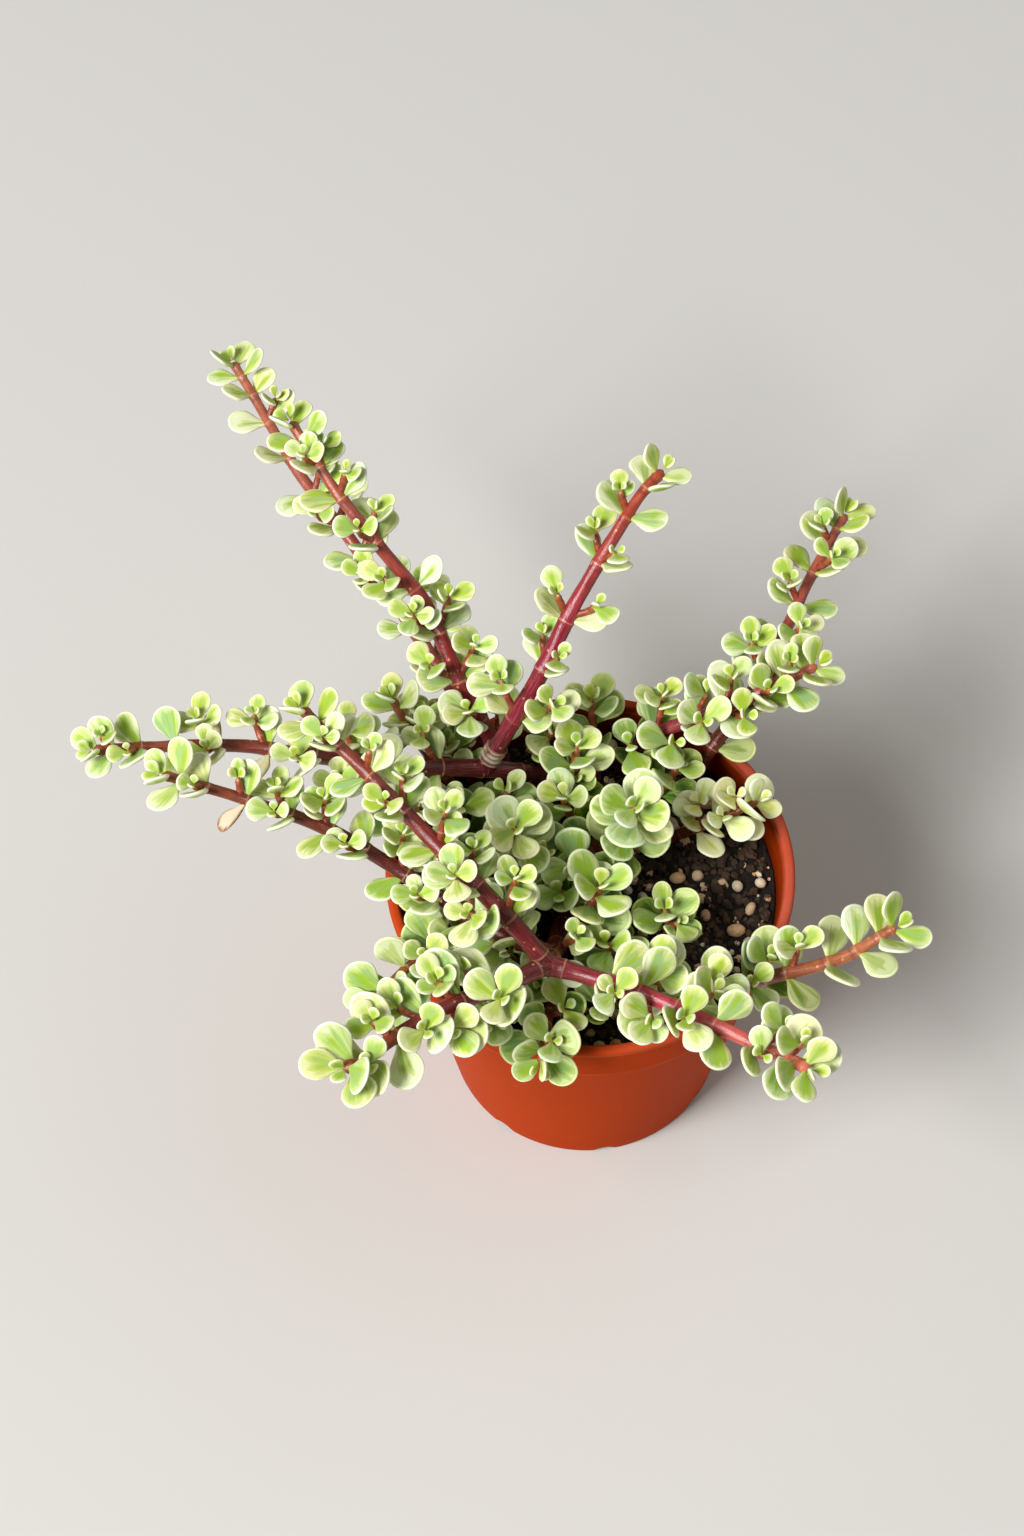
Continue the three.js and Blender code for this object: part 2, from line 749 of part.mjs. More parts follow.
// Grows the leaves of every pair on a stem, each at the first trial that has room.
function growLeaves(stem) {
  const before = leaves.length;
  for (const pair of stem.pairs) {
    for (const second of [0, 1]) {
      for (const trial of TRIALS) {
        const leaf = leafAt(stem, pair, second, trial);
        if (!leafFits(leaf)) continue;
        leaves.push(leaf);
        break;
      }
    }
  }
  return leaves.length - before;
}

// Grows a side shoot if its stem has room and at least three leaves fit on it.
function growShoot(parent, pair, second) {
  const shoot = sideShoot(parent, pair, second);
  const outside = shoot.path.samples.filter(({ distance }) => distance > shoot.bare + 1);
  const blocked = outside.some(
    ({ centre }) =>
      !isClearOfPot(centre) ||
      hitsStem(centre, STEM_ROOM, parent) ||
      leaves.some((leaf) => isInLeaf(leaf, centre, SHOOT_ROOM)),
  );
  if (blocked) return null;
  shoot.pairs = pairsOn(shoot);
  const grown = growLeaves(shoot);
  if (grown >= SIDE.leastLeaves) {
    addKnots(shoot);
    return shoot;
  }
  leaves.length -= grown;
  return null;
}

const mains = Object.values(PLANTS).flatMap((routes, plant) =>
  routes.map((form, index) => mainStem(plant, index, form)),
);
mains.forEach(addKnots);
mains.forEach((stem) => {
  stem.pairs = pairsOn(stem);
  growLeaves(stem);
});

const shoots = [];
for (const stem of mains) {
  const youngest = stem.short ? SIDE.youngestShort : SIDE.youngest;
  for (const pair of stem.pairs) {
    for (const second of [0, 1]) {
      const chance = stem.shoots * (pair.index > youngest ? 1 : SIDE.youngestChance);
      if (pair.index < youngest || draw(...stem.keys, pair.index, second, 9) > chance) continue;
      const shoot = growShoot(stem, pair, second);
      if (shoot) shoots.push(shoot);
    }
  }
}

// ---------------------------------------------------------------- plants as solids

// The two ends of a stem's buried foot, or of the wider and longer hole in the soil round it.
function footRings(stem, wider, longer) {
  const { from, to, forward, side } = stem.foot;
  const radius = stem.radii[0] + wider;
  return [
    { centre: from.clone().addScaledVector(forward, -longer), forward, side, radius },
    { centre: to.clone().addScaledVector(forward, longer), forward, side, radius },
  ];
}

// A ring or a whorl is four chains of points, one for each quarter turn round the stem.
function ringChains({ centre, forward, side, radius, turn }) {
  const other = forward.clone().cross(side);
  return [0, 1, 2, 3].map((quarter) => {
    const angle = turn + ((quarter - 0.5) * Math.PI) / 2;
    const point = centre.clone().addScaledVector(side, radius * Math.cos(angle));
    return [point.addScaledVector(other, radius * Math.sin(angle))];
  });
}

// A whorl's chains start in the valley before each leaf, and go round that leaf's outline.
function whorlChains(frame, members) {
  const { centre, forward, side, turn } = frame;
  const other = forward.clone().cross(side);
  const angleOf = (point) => {
    const offset = point.clone().sub(centre);
    return Math.atan2(offset.dot(other), offset.dot(side)) - turn;
  };
  const chains = ringChains({ ...frame, radius: frame.radius * WHORL.valley });
  for (const leaf of members) {
    const quarter = Math.round((angleOf(onLeaf(leaf, 1, 0, 0)) / Math.PI) * 2 + 8) % 4;
    if (chains[quarter].length > 1) continue;
    const half = leaf.width / 2;
    const outline = WHORL.outline.map(([share, part]) => onLeaf(leaf, share, part * half, 0));
    const swing = angleOf(outline[0]) - angleOf(outline.at(-1));
    if (Math.sin(swing) > 0) outline.reverse();
    chains[quarter].push(...outline);
  }
  return chains;
}

// One closed solid through layers of four chains each, from the lowest ring to a pointed top.
function layeredSolid(layers, top) {
  const points = [];
  const numbered = layers.map((chains) =>
    chains.map((chain) => chain.map((point) => points.push(point) - 1)),
  );
  const triangles = [];
  const edgeOf = (layer, quarter) => [...layer[quarter], layer[(quarter + 1) % 4][0]];
  for (let level = 0; level + 1 < numbered.length; level++) {
    for (let quarter = 0; quarter < 4; quarter++) {
      const low = edgeOf(numbered[level], quarter);
      const high = edgeOf(numbered[level + 1], quarter);
      for (let i = 0, j = 0; i + 1 < low.length || j + 1 < high.length; ) {
        const ahead = (i + 0.5) / (low.length - 1) - (j + 0.5) / (high.length - 1);
        if (ahead < 0 || (ahead === 0 && low.length > high.length)) {
          triangles.push([low[i], low[i + 1], high[j]]);
          i++;
        } else {
          triangles.push([low[i], high[j + 1], high[j]]);
          j++;
        }
      }
    }
  }
  const [first, last] = [numbered[0].flat(), numbered.at(-1).flat()];
  const peak = points.push(top) - 1;
  last.forEach((point, i) => triangles.push([point, last[(i + 1) % last.length], peak]));
  triangles.push([first[0], first[2], first[1]], [first[0], first[3], first[2]]);
  return solidFrom(points, triangles);
}

// A stem's whorls, from its base up. The youngest two pairs share one, and so do the other pairs
// of short stems, two by two. On long stems every other pair has its own.
function whorlsOn(stem, most) {
  const own = leaves.filter((leaf) => leaf.stem === stem);
  const whorls = [];
  const last = stem.pairs.at(-1).index;
  let take = 2;
  for (let index = stem.ends ? 1 : OLDER_PAIR; whorls.length < most && index <= last; index += take) {
    if (whorls.length && !stem.short) take = 1;
    const inWhorl = (pair) => pair >= index && pair < index + take;
    const members = own.filter((leaf) => inWhorl(leaf.pair));
    const levels = stem.pairs.filter((pair) => inWhorl(pair.index));
    const distance = levels.reduce((sum, pair) => sum + pair.distance, 0) / levels.length;
    if (members.length) whorls.unshift({ distance, members });
  }
  return whorls;
}

// A leafy stem as one solid: a four-sided stalk that widens at each whorl into its leaves.
function whorledSolid(stem, most) {
  const whorls = whorlsOn(stem, most);
  const frameAt = (distance) => ({
    ...placeOn(stem.path, distance),
    radius: stemRadius(stem, distance) * WHORL.ring,
    turn: radians(WHORL.turn),
  });
  const layers = [];
  let reached = 0;
  const addRings = (distance) => {
    const count = Math.round((distance - reached) / RING_STEP);
    for (let i = 1; i < count; i++) {
      layers.push(ringChains(frameAt(mix(reached, distance, i / count))));
    }
    layers.push(ringChains(frameAt(distance)));
    reached = distance;
  };
  if (stem.foot) {
    const turn = radians(WHORL.turn);
    for (const ring of footRings(stem, 0, 0)) layers.push(ringChains({ ...ring, turn }));
  } else {
    layers.push(ringChains(frameAt(0)));
  }
  for (const { distance, members } of whorls) {
    addRings(distance - WHORL.half);
    layers.push(whorlChains(frameAt(distance), members));
    const isTop = distance === whorls.at(-1).distance;
    if (isTop && stem.parent) break;
    addRings(Math.min(distance + WHORL.half, stem.path.length));
  }
  const end = frameAt(stem.ends ? whorls.at(-1).distance : stem.path.length);
  return layeredSolid(layers, end.centre.clone().addScaledVector(end.forward, WHORL.cap));
}

const isClear = (part, others) => others.every((other) => part.intersect(other).isEmpty());

// What a plant always has: its stems. A short one has as many whorls as have room.
function mainSolid(plant, others) {
  const stems = mains.filter((stem) => stem.plant === plant);
  if (!stems[0].short) return wasm.Manifold.union(stems.map((stem) => whorledSolid(stem, Infinity)));
  const tries = SHORT_WHORLS.map((most) => whorledSolid(stems[0], most));
  return tries.find((part) => isClear(part, others)) ?? tries.at(-1);
}

// The rest of a plant: its larger side shoots, each with its outer whorl.
function sideSolids(plant) {
  const own = shoots.filter((shoot) => shoot.plant === plant && shoot.leaf >= SOLID_SHOOT);
  return own.map((shoot) => whorledSolid(shoot, 1));
}

// ---------------------------------------------------------------- pot and soil

function potSolid() {
  const { height, edge, wall, floor } = POT;
  const lipBottom = height - POT.lipHeight;
  const profile = [
    [0, 0],
    [POT.baseRadius - 1.2, 0],
    [POT.baseRadius, 1.2],
    [POT.bodyTopRadius, POT.bodyTop],
    [POT.collarRadius, POT.collarBottom],
    [POT.collarTopRadius, lipBottom],
    [POT.lipRadius, lipBottom],
    [POT.lipRadius, height - edge],
    [POT.lipRadius - edge, height],
    [POT.lipInnerRadius + edge, height],
    [POT.collarTopRadius - wall, height - 2 * edge],
    [POT.bodyTopRadius - wall, POT.bodyTop - edge],
    [POT.baseRadius - wall, floor],
    [0, floor],
  ];
  const outline = profile.map(([x, y]) => new THREE.Vector2(x, y));
  const lathe = new THREE.LatheGeometry(outline, POT.sides).rotateX(Math.PI / 2);
  const notches = [];
  for (let i = 0; i < NOTCH.count; i++) {
    const arch = new THREE.Shape();
    arch.moveTo(-NOTCH.halfWidth, -1);
    arch.lineTo(NOTCH.halfWidth, -1);
    arch.lineTo(NOTCH.halfWidth, 0);
    arch.quadraticCurveTo(0, 2 * NOTCH.height, -NOTCH.halfWidth, 0);
    arch.closePath();
    const options = { depth: NOTCH.depth + 2, bevelEnabled: false, curveSegments: 6 };
    const cut = new THREE.ExtrudeGeometry(arch, options)
      .rotateX(Math.PI / 2)
      .translate(0, POT.baseRadius + 2, 0)
      .rotateZ((2 * Math.PI * (i + 0.5)) / NOTCH.count + NOTCH.turn);
    notches.push(solidOf(cut));
  }
  return wasm.Manifold.difference([solidOf(lathe), ...notches]);
}

// The soil's wall follows the inside of the pot a little way off it.
function soilSolid() {
  const { wall, edge } = POT;
  const shoulder = POT.bodyTop - edge;
  const share = (SOIL.top - shoulder) / (POT.height - 2 * edge - shoulder);
  const topRadius = mix(POT.bodyTopRadius, POT.collarTopRadius, share) - wall - SOIL.clear;
  const rings = [];
  for (let i = 1; i <= SOIL.rings; i++) rings.push([(topRadius * i) / SOIL.rings, SOIL.top, SOIL.rough]);
  rings[SOIL.rings - 1][2] = 0;
  rings.push([POT.bodyTopRadius - wall - SOIL.clear, shoulder, 0]);
  rings.push([POT.baseRadius - wall - SOIL.clear, POT.floor + SOIL.clear, 0]);
  const points = [new THREE.Vector3(0, 0, SOIL.top)];
  rings.forEach(([radius, level, rough], ring) => {
    for (let i = 0; i < SOIL.sectors; i++) {
      const angle = (2 * Math.PI * i) / SOIL.sectors;
      const height = level + rough * (2 * draw(ring, i, 31) - 1);
      points.push(new THREE.Vector3(radius * Math.cos(angle), radius * Math.sin(angle), height));
    }
  });
  const bottom = points.length;
  points.push(new THREE.Vector3(0, 0, POT.floor + SOIL.clear));
  const triangles = [];
  for (let i = 0; i < SOIL.sectors; i++) {
    const next = (i + 1) % SOIL.sectors;
    triangles.push([0, 1 + i, 1 + next]);
    for (let ring = 0; ring + 1 < rings.length; ring++) {
      const a = 1 + ring * SOIL.sectors;
      const b = a + SOIL.sectors;
      triangles.push([a + i, b + i, b + next], [a + i, b + next, a + next]);
    }
    const rim = bottom - SOIL.sectors;
    triangles.push([rim + i, bottom, rim + next]);
  }
  const grit = [];
  for (let i = 0; i < SOIL.grit; i++) {
    const radius = (topRadius - 4) * Math.sqrt(draw(i, 41));
    const angle = 2 * Math.PI * draw(i, 42);
    const size = mix(1.2, 2.1, draw(i, 43));
    const stone = new THREE.OctahedronGeometry(size, 0)
      .scale(1, mix(0.7, 1, draw(i, 44)), 0.7)
      .rotateZ(2 * Math.PI * draw(i, 45))
      .translate(radius * Math.cos(angle), radius * Math.sin(angle), SOIL.top);
    grit.push(solidOf(stone));
  }
  const filled = wasm.Manifold.union([solidFrom(points, triangles), ...grit]);
  const holes = mains.filter((stem) => stem.foot).map(footHole);
  return wasm.Manifold.difference([filled, ...holes]);
}

// The hole round a foot has the foot's own section, a little wider and longer.
const footHole = (stem) => squareBar(footRings(stem, ROOT_CLEAR, ROOT_FOOT));

// ---------------------------------------------------------------- the object

const fixed = [potSolid(), soilSolid()];
const solids = [];
Object.keys(PLANTS).forEach((name, plant) => solids.push(mainSolid(plant, [...fixed, ...solids])));
solids.forEach((solid, plant) => {
  const others = [...fixed, ...solids.filter((other) => other !== solid)];
  const parts = sideSolids(plant).filter((part) => isClear(part, others));
  const bodies = wasm.Manifold.union([solid, ...parts]).decompose();
  solids[plant] = bodies.sort((a, b) => b.volume() - a.volume())[0];
});

const bush = new THREE.Group();
bush.name = "elephant_bush";
bush.add(meshOf("pot", fixed[0], COLOURS.pot, 0.45));
bush.add(meshOf("soil", fixed[1], COLOURS.soil, 0.95));
Object.keys(PLANTS).forEach((name, plant) => {
  const colour = name === "shoot_cream" ? COLOURS.cream : COLOURS.foliage;
  bush.add(meshOf(name, solids[plant], colour, 0.5));
});

export default bush;
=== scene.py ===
import json
import math
import random
from functools import partialmethod
from types import SimpleNamespace as Facts

import bpy
import numpy as np
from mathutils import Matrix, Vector, noise

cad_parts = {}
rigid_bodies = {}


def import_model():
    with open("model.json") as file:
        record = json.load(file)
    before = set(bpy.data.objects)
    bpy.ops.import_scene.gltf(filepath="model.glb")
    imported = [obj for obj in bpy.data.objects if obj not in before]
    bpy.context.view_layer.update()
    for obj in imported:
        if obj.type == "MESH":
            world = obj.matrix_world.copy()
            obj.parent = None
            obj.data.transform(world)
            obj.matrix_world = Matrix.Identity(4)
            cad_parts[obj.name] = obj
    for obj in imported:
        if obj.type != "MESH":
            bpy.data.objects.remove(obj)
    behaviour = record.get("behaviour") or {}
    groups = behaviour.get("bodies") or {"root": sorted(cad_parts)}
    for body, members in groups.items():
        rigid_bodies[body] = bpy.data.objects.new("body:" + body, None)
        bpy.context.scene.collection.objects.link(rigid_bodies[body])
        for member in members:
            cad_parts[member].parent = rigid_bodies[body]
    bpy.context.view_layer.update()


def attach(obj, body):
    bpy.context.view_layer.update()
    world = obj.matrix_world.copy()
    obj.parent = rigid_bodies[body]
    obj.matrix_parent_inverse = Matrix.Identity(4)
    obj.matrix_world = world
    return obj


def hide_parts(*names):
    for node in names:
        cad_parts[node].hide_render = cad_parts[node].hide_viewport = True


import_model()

# The elephant bush and its pot. The plant is grown by the rules that the part's source uses, so that
# each stem and leaf stands where its solid does, and is then given its fine shapes and its colours.

MM = 0.001

# ---------------- sizes, in millimetres

POT = Facts(
    height=105.0, base_radius=42.0, body_top_radius=55.2, body_top=82.9, collar_radius=56.7,
    collar_bottom=83.8, collar_top_radius=57.7, lip_radius=60.0, lip_height=3.0,
    lip_inner_radius=56.8, edge=0.8, wall=1.5, floor=1.8,
)
# Drain notches: shallow arches cut where the wall meets the floor.
NOTCH = Facts(count=8, half_width=4.0, height=3.2, depth=7.0, turn=math.radians(-14.5))
SOIL_TOP = 93.0

# A leaf's sizes are shares of its own length. Its foot is sunk into the stem it grows from.
WIDTH_LEAST, WIDTH_SPREAD = 0.7, 0.2
THICK_BASE, THICK_SHARE = 0.75, 0.08
CURL_LEAST, CURL_SPREAD = 0.03, 0.12
WIDEST, BASE_WIDTH, SUNK, WAIST = 0.6, 0.17, 0.7, 1.6

# Pairs of leaves are counted back from a tip: their size, the gap to the next, how far open, and
# how far round the stem they stand from its level side. Older pairs on long stems lie flatter.
LONG_PAIRS = Facts(
    size=[0.42, 0.84, 1, 1], gap=[0.14, 0.3, 0.55, 0.8, 1], open=[34, 60, 68, 72, 76], turn=[45, 42, 36, 30],
)
SHORT_PAIRS = Facts(
    size=[0.36, 0.74, 0.94, 1], gap=[0.22, 0.42, 0.66, 0.9, 1], open=[34, 60, 70, 76, 80], turn=[45],
)
SIDE_PAIRS = Facts(size=[0.36, 0.84, 1], gap=[0.26, 0.5, 0.85, 1.15], open=[36, 66, 78, 80], turn=[45])
PAIR_SPREAD = Facts(turn=20, open=14, size=(0.88, 1.08), gap=(0.85, 1.15))
SHORT_INTERNODE = 6.8

# A stem that ends in a fork has no young pairs: it starts with this one.
OLDER_PAIR = 4

# Side shoots: how far they reach near a tip and on old wood, which way they leave the axil of
# their leaf, a little above it, and how they turn up.
SIDE = Facts(
    young=3.5, old=9.5, youngest=2, oldest=7, youngest_short=3, youngest_chance=0.5,
    spread=(0.8, 1.2), forward=0.6, out=1, lift=0.3, upright=1.1, above=1.5, thick=1.1, thin=0.8,
    bare=0.6, leaf=(0.76, 0.96), internode=(3.6, 4.8), least_leaves=3,
)

# A leaf lies flatter than its stem would hold it, lifts a little, and turns its face to the light.
FLAT, LIFT = 0.62, 0.22
LIGHT, FACE_LIGHT = (0, -0.36, 0.93), 1.6

# Stems thin late: this is the power of the run along one.
TAPER = 1.6

# The upper side of a long stem stays clear of leaves to this height, on some of the stretches of
# this length, but not on its leafy tip.
CLEAR_ABOVE, CLEAR_STRETCH, LEAFY_TIP = 4.5, 12, 10

# A leaf with no room is tried again: turned round the stem, opened, and smaller.
TRIALS = [
    (0, 0, 1), (18, 0, 1), (-18, 0, 1), (0, -16, 1), (0, 13, 0.95), (30, -6, 0.88),
    (-30, -6, 0.88), (0, -26, 0.75), (24, -18, 0.7), (-24, -18, 0.7),
]
# Room kept beyond a leaf's edge, off its faces, off the faces of the next pair, round a shoot, above
# the soil and the lip, and within and outside the lip.
EDGE_ROOM, FACE_ROOM, SISTER_ROOM, SHOOT_ROOM, SHOOT_STEM_ROOM = 0.3, 0.25, -0.45, 0.4, 1.2
SOIL_ROOM, INNER_LIP_ROOM, OUTER_LIP_ROOM = 1.6, 4, 2.5
# Two leaves are compared where their middles are nearer than this share of their lengths together.
NEAR_SHARE = 0.62
# How far apart a path's samples are, how many finer ones measure it, and how much a store holds.
SAMPLE_STEP, FINE_SAMPLES, MOST_PLACES = 1.5, 200, 9000

# Every rooted stem: its routes, each with the radii at both ends, the bare length, the leaves' length
# and the chance of a side shoot. The first route starts in the soil, and its second point is at the
# surface. Later routes are its branches.
PLANTS = {
    "stem_far_left": [
        dict(route=[[-4, 44, 75], [-5, 34, 95], [-15, 30, 108], [-31, 26, 119], [-55, 22, 127],
                    [-78, 22, 132], [-101, 24, 135], [-124, 22, 138], [-143, 19, 141]],
             radii=(3, 1.4), bare=42, internode=13, leaf=11, shoots=0.9),
        dict(route=[[-31, 26, 119], [-24, 30, 135], [-15, 38, 151], [-6, 51, 165], [4, 64, 177],
                    [13, 76, 185], [20, 83, 189]],
             radii=(2.8, 1.5), bare=15, internode=17, leaf=11, shoots=0.95, clear=1, knob=True),
    ],
    "stem_back_left": [
        dict(route=[[-22, 41, 75], [-24, 36, 95], [-29, 36, 119], [-37, 43, 135], [-48, 62, 151],
                    [-61, 74, 163], [-75, 89, 173], [-87, 106, 181]],
             radii=(2.7, 1.4), bare=12, internode=15, leaf=11, shoots=0.9, clear=0.8),
        dict(route=[[-26, 35, 107], [-40, 53, 117], [-55, 72, 131], [-71, 92, 141], [-86, 111, 147],
                    [-98, 132, 151], [-107, 147, 155]],
             radii=(2.4, 1.3), bare=9, internode=13, leaf=10.6, shoots=0.8),
    ],
    "stem_front": [
        dict(route=[[-9, 1, 75], [-8, -11, 95], [-10, -29, 113], [-13, -44, 129]],
             radii=(3.1, 2.8), bare=14, internode=13, leaf=10.3, shoots=0.9, ends=False),
        dict(route=[[-13, -44, 129], [-23, -36, 139], [-36, -25, 147], [-49, -13, 153], [-63, 0, 159],
                    [-74, 10, 163], [-82, 17, 167]],
             radii=(2.8, 1.5), bare=8, internode=14, leaf=11, shoots=0.95),
        dict(route=[[-12, -37, 122], [-28, -29, 121], [-43, -21, 125], [-59, -12, 131], [-75, -5, 137],
                    [-92, 0, 141], [-109, 4, 145], [-122, 6, 149]],
             radii=(2.5, 1.4), bare=8, internode=13, leaf=11.3, shoots=0.95),
        dict(route=[[-13, -44, 129], [-26, -54, 135], [-40, -62, 139], [-54, -72, 141],
                    [-63, -80, 142], [-68, -85, 147]],
             radii=(2.7, 1.7), bare=8, internode=11.5, leaf=14.6, shoots=0.95),
        dict(route=[[-13, -44, 129], [-1, -48, 129], [15, -56, 133], [34, -66, 134], [50, -75, 135],
                    [58, -82, 140]],
             radii=(2.7, 1.7), bare=8, internode=11, leaf=13, shoots=0.95),
    ],
    "stem_right": [
        dict(route=[[34, -23, 75], [32, -31, 95], [38, -40, 108], [53, -40, 115], [70, -37, 119],
                    [86, -30, 125]],
             radii=(2.4, 1.5), bare=16, internode=12, leaf=12.9, shoots=0.75),
    ],
    "stem_back_right_low": [
        dict(route=[[9, 44, 75], [10, 42, 95], [17, 41, 111], [29, 41, 121], [44, 43, 129],
                    [55, 45, 135], [66, 49, 139]],
             radii=(2.4, 1.3), bare=6, internode=11.5, leaf=12, shoots=0.9),
    ],
    "stem_back_right": [
        dict(route=[[29, 36, 75], [30, 34, 95], [36, 39, 108], [49, 54, 118], [57, 68, 123],
                    [67, 87, 131], [77, 104, 137]],
             radii=(2.4, 1.3), bare=5, internode=12.5, leaf=12, shoots=0.8),
    ],
}

# The short leafy shoots: each one's route, bare length, leaf length and chance of a side shoot, and
# the radii at its ends where they aren't the usual ones.
SHOOT_RADII = (1.6, 1)
SHOOTS = {
    "shoot_cream": ([[24, 23, 75], [24, 16, 95], [32, 13, 107], [41, 14, 113],
        [49, 16, 117]], 10, 12, 0.7, (1.7, 1)),
    "shoot_centre_right": ([[10, 13, 75], [10, 9, 95], [11, 5, 119],
        [12, 0, 141]], 7, 13.2, 0.25, (1.9, 1.1)),
    "shoot_centre_left": ([[-21, 13, 75], [-21, 6, 95], [-21, 0, 119],
        [-22, -6, 139]], 7, 12.8, 0.3, (1.9, 1.1)),
    "shoot_centre_front": ([[0, -11, 75], [0, -17, 95], [-1, -20, 115],
        [2, -18, 127]], 6, 13.4, 0.25, (1.8, 1.1)),
    "shoot_centre": ([[4, 23, 75], [3, 16, 95], [0, 4, 109], [-5, -8, 119]], 6, 13.2, 0.3, (1.7, 1)),
    "shoot_back": ([[-8, 35, 75], [-8, 25, 95], [-5, 27, 111], [-4, 31, 123]], 6, 12, 0.3),
    "shoot_back_right": ([[2, 38, 75], [2, 37, 95], [1, 43, 108], [1, 50, 118]], 6, 12.6, 0.3),
    "shoot_right": ([[25, -14, 75], [23, -21, 95], [22, -21, 107], [21, -19, 115]], 5, 12.6, 0.3),
    "shoot_front_right": ([[18, -37, 75], [17, -42, 95], [18, -45, 113],
        [17, -45, 129]], 7, 13.3, 0.3, (1.7, 1)),
    "shoot_front_far_right": ([[29, -34, 75], [28, -41, 95], [32, -46, 113], [33, -49, 129]], 7, 12.6, 0.3),
    "shoot_over_lip": ([[-9, -31, 75], [-9, -38, 95], [-12, -47, 107], [-14, -61, 113],
        [-15, -67, 112]], 8, 12.4, 0.5),
    "shoot_front_left": ([[-33, -14, 75], [-34, -21, 95], [-41, -25, 108], [-51, -36, 115],
        [-62, -50, 119]], 10, 12.6, 0.5, (1.8, 1.1)),
    "shoot_left": ([[-38, 4, 75], [-38, -3, 95], [-42, -11, 107], [-47, -20, 113]], 6, 12, 0.4),
    "shoot_middle": ([[-2, -1, 75], [-2, -5, 95], [-6, -11, 109], [-9, -15, 118]], 5, 12.4, 0.2),
    "shoot_middle_left": ([[-23, -7, 75], [-24, -15, 95], [-25, -21, 113],
        [-26, -28, 129]], 6, 12.4, 0.3, (1.7, 1)),
    "shoot_middle_front": ([[-20, -19, 75], [-21, -26, 95], [-23, -32, 109], [-25, -36, 121]], 6, 12.2, 0.3),
    "shoot_middle_right": ([[9, -19, 75], [8, -25, 95], [6, -30, 109], [4, -31, 117]], 5, 12, 0.2),
    "shoot_behind_middle": ([[-13, 11, 75], [-14, 5, 95], [-13, 0, 109], [-13, -3, 121]], 5, 12, 0.2),
    "shoot_far_left": ([[-35, 12, 75], [-35, 5, 95], [-39, 0, 109], [-43, -4, 121]], 6, 12, 0.3),
    "shoot_back_left": ([[-33, 33, 75], [-34, 25, 95], [-43, 29, 111], [-52, 36, 121],
        [-58, 44, 129]], 8, 11.4, 0.6, (1.8, 1.1)),
    "shoot_low_left": ([[-41, 22, 75], [-43, 15, 95], [-52, 13, 109],
        [-60, 14, 117]], 8, 11.6, 0.5, (1.7, 1.1)),
    "shoot_behind_right": ([[18, 31, 75], [18, 27, 95], [22, 27, 107], [26, 29, 115]], 6, 12, 0.4),
    "shoot_mid_back": ([[-3, 22, 75], [-5, 16, 95], [-6, 14, 111], [-8, 14, 123]], 6, 12, 0.3),
    "shoot_front": ([[3, -38, 75], [2, -44, 95], [2, -46, 104], [3, -47, 112]], 6, 12, 0.3),
    "shoot_gap_left": ([[-34, 19, 75], [-35, 12, 95], [-37, 13, 109], [-39, 15, 119]], 5, 12.4, 0.3),
    "shoot_gap_back": ([[-33, 38, 75], [-34, 34, 95], [-38, 35, 107], [-42, 36, 117]], 5, 12, 0.3),
    "shoot_back_middle": ([[-13, 46, 75], [-14, 42, 95], [-13, 41, 107], [-11, 40, 117]], 6, 12.6, 0.3),
    "shoot_centre_back": ([[-23, 22, 75], [-24, 15, 95], [-24, 16, 109], [-25, 18, 119]], 5, 12, 0.3),
    "shoot_lip_left": ([[-24, -30, 75], [-25, -37, 95], [-27, -49, 111], [-30, -56, 117]], 8, 12, 0.4),
}
for name, (route, bare, leaf, chance, *radii) in SHOOTS.items():
    radii = radii[0] if radii else SHOOT_RADII
    PLANTS[name] = [dict(route=route, radii=radii, bare=bare, leaf=leaf, shoots=chance, short=True)]

# The colours of the long stems' bark at their base, middle and tip, and of all the shoots'.
BARK = {
    "stem_far_left": [
        ((74, 22, 36), (104, 34, 36), (144, 72, 38)),
        ((96, 30, 44), (152, 38, 62), (172, 74, 40)),
    ],
    "stem_back_left": [
        ((116, 34, 50), (140, 44, 44), (176, 94, 58)),
        ((122, 38, 54), (160, 76, 60), (178, 104, 72)),
    ],
    "stem_front": [
        ((92, 26, 30), (92, 26, 30), (100, 30, 32)),
        ((98, 28, 30), (120, 36, 34), (150, 68, 38)),
        ((92, 28, 26), (84, 28, 20), (134, 68, 28)),
        ((110, 36, 38), (126, 44, 44), (158, 84, 50)),
        ((116, 36, 42), (180, 62, 78), (218, 122, 94)),
    ],
    "stem_right": [((118, 62, 42), (152, 92, 54), (200, 122, 78))],
    "stem_back_right_low": [((84, 24, 26), (156, 66, 72), (196, 106, 80))],
    "stem_back_right": [((84, 32, 30), (136, 62, 40), (180, 98, 78))],
}
# How red the bark's base and middle grow in the light; the young tip keeps its own colour.
BARK_CAST = np.array([(1.05, 0.76, 0.86), (1.04, 0.8, 0.9), (1, 0.96, 0.96)])
SHORT_BARK = ((112, 58, 40), (140, 78, 44), (160, 96, 52))
SIDE_BARK = ((140, 62, 40), (162, 82, 44), (172, 104, 56))

# Leaves that have withered, by their keys (stem, route, pair and side of the pair), and how far.
WITHERED = {(2, 2, 4, 0): 1.0, (0, 0, 6, 1): 0.6, (0, 0, 5, 0): 0.8, (25, 0, 3, 1): 0.35}

# ---------------- the growth rules

UP = np.array([0.0, 0.0, 1.0])


def mix(a, b, share):
    return a + (b - a) * share


def listed(values, index):
    return values[min(index, len(values) - 1)]


def unit(v):
    return v / math.sqrt(float(v @ v))


def draw(*keys):
    """A number from 0 to 1 that depends only on its keys."""
    h = 2166136261
    for key in keys:
        h = ((h ^ key) * 16777619) & 0xFFFFFFFF
        h ^= h >> 13
    h = ((h ^ (h >> 15)) * 2246822507) & 0xFFFFFFFF
    h ^= h >> 13
    return h / 4294967296


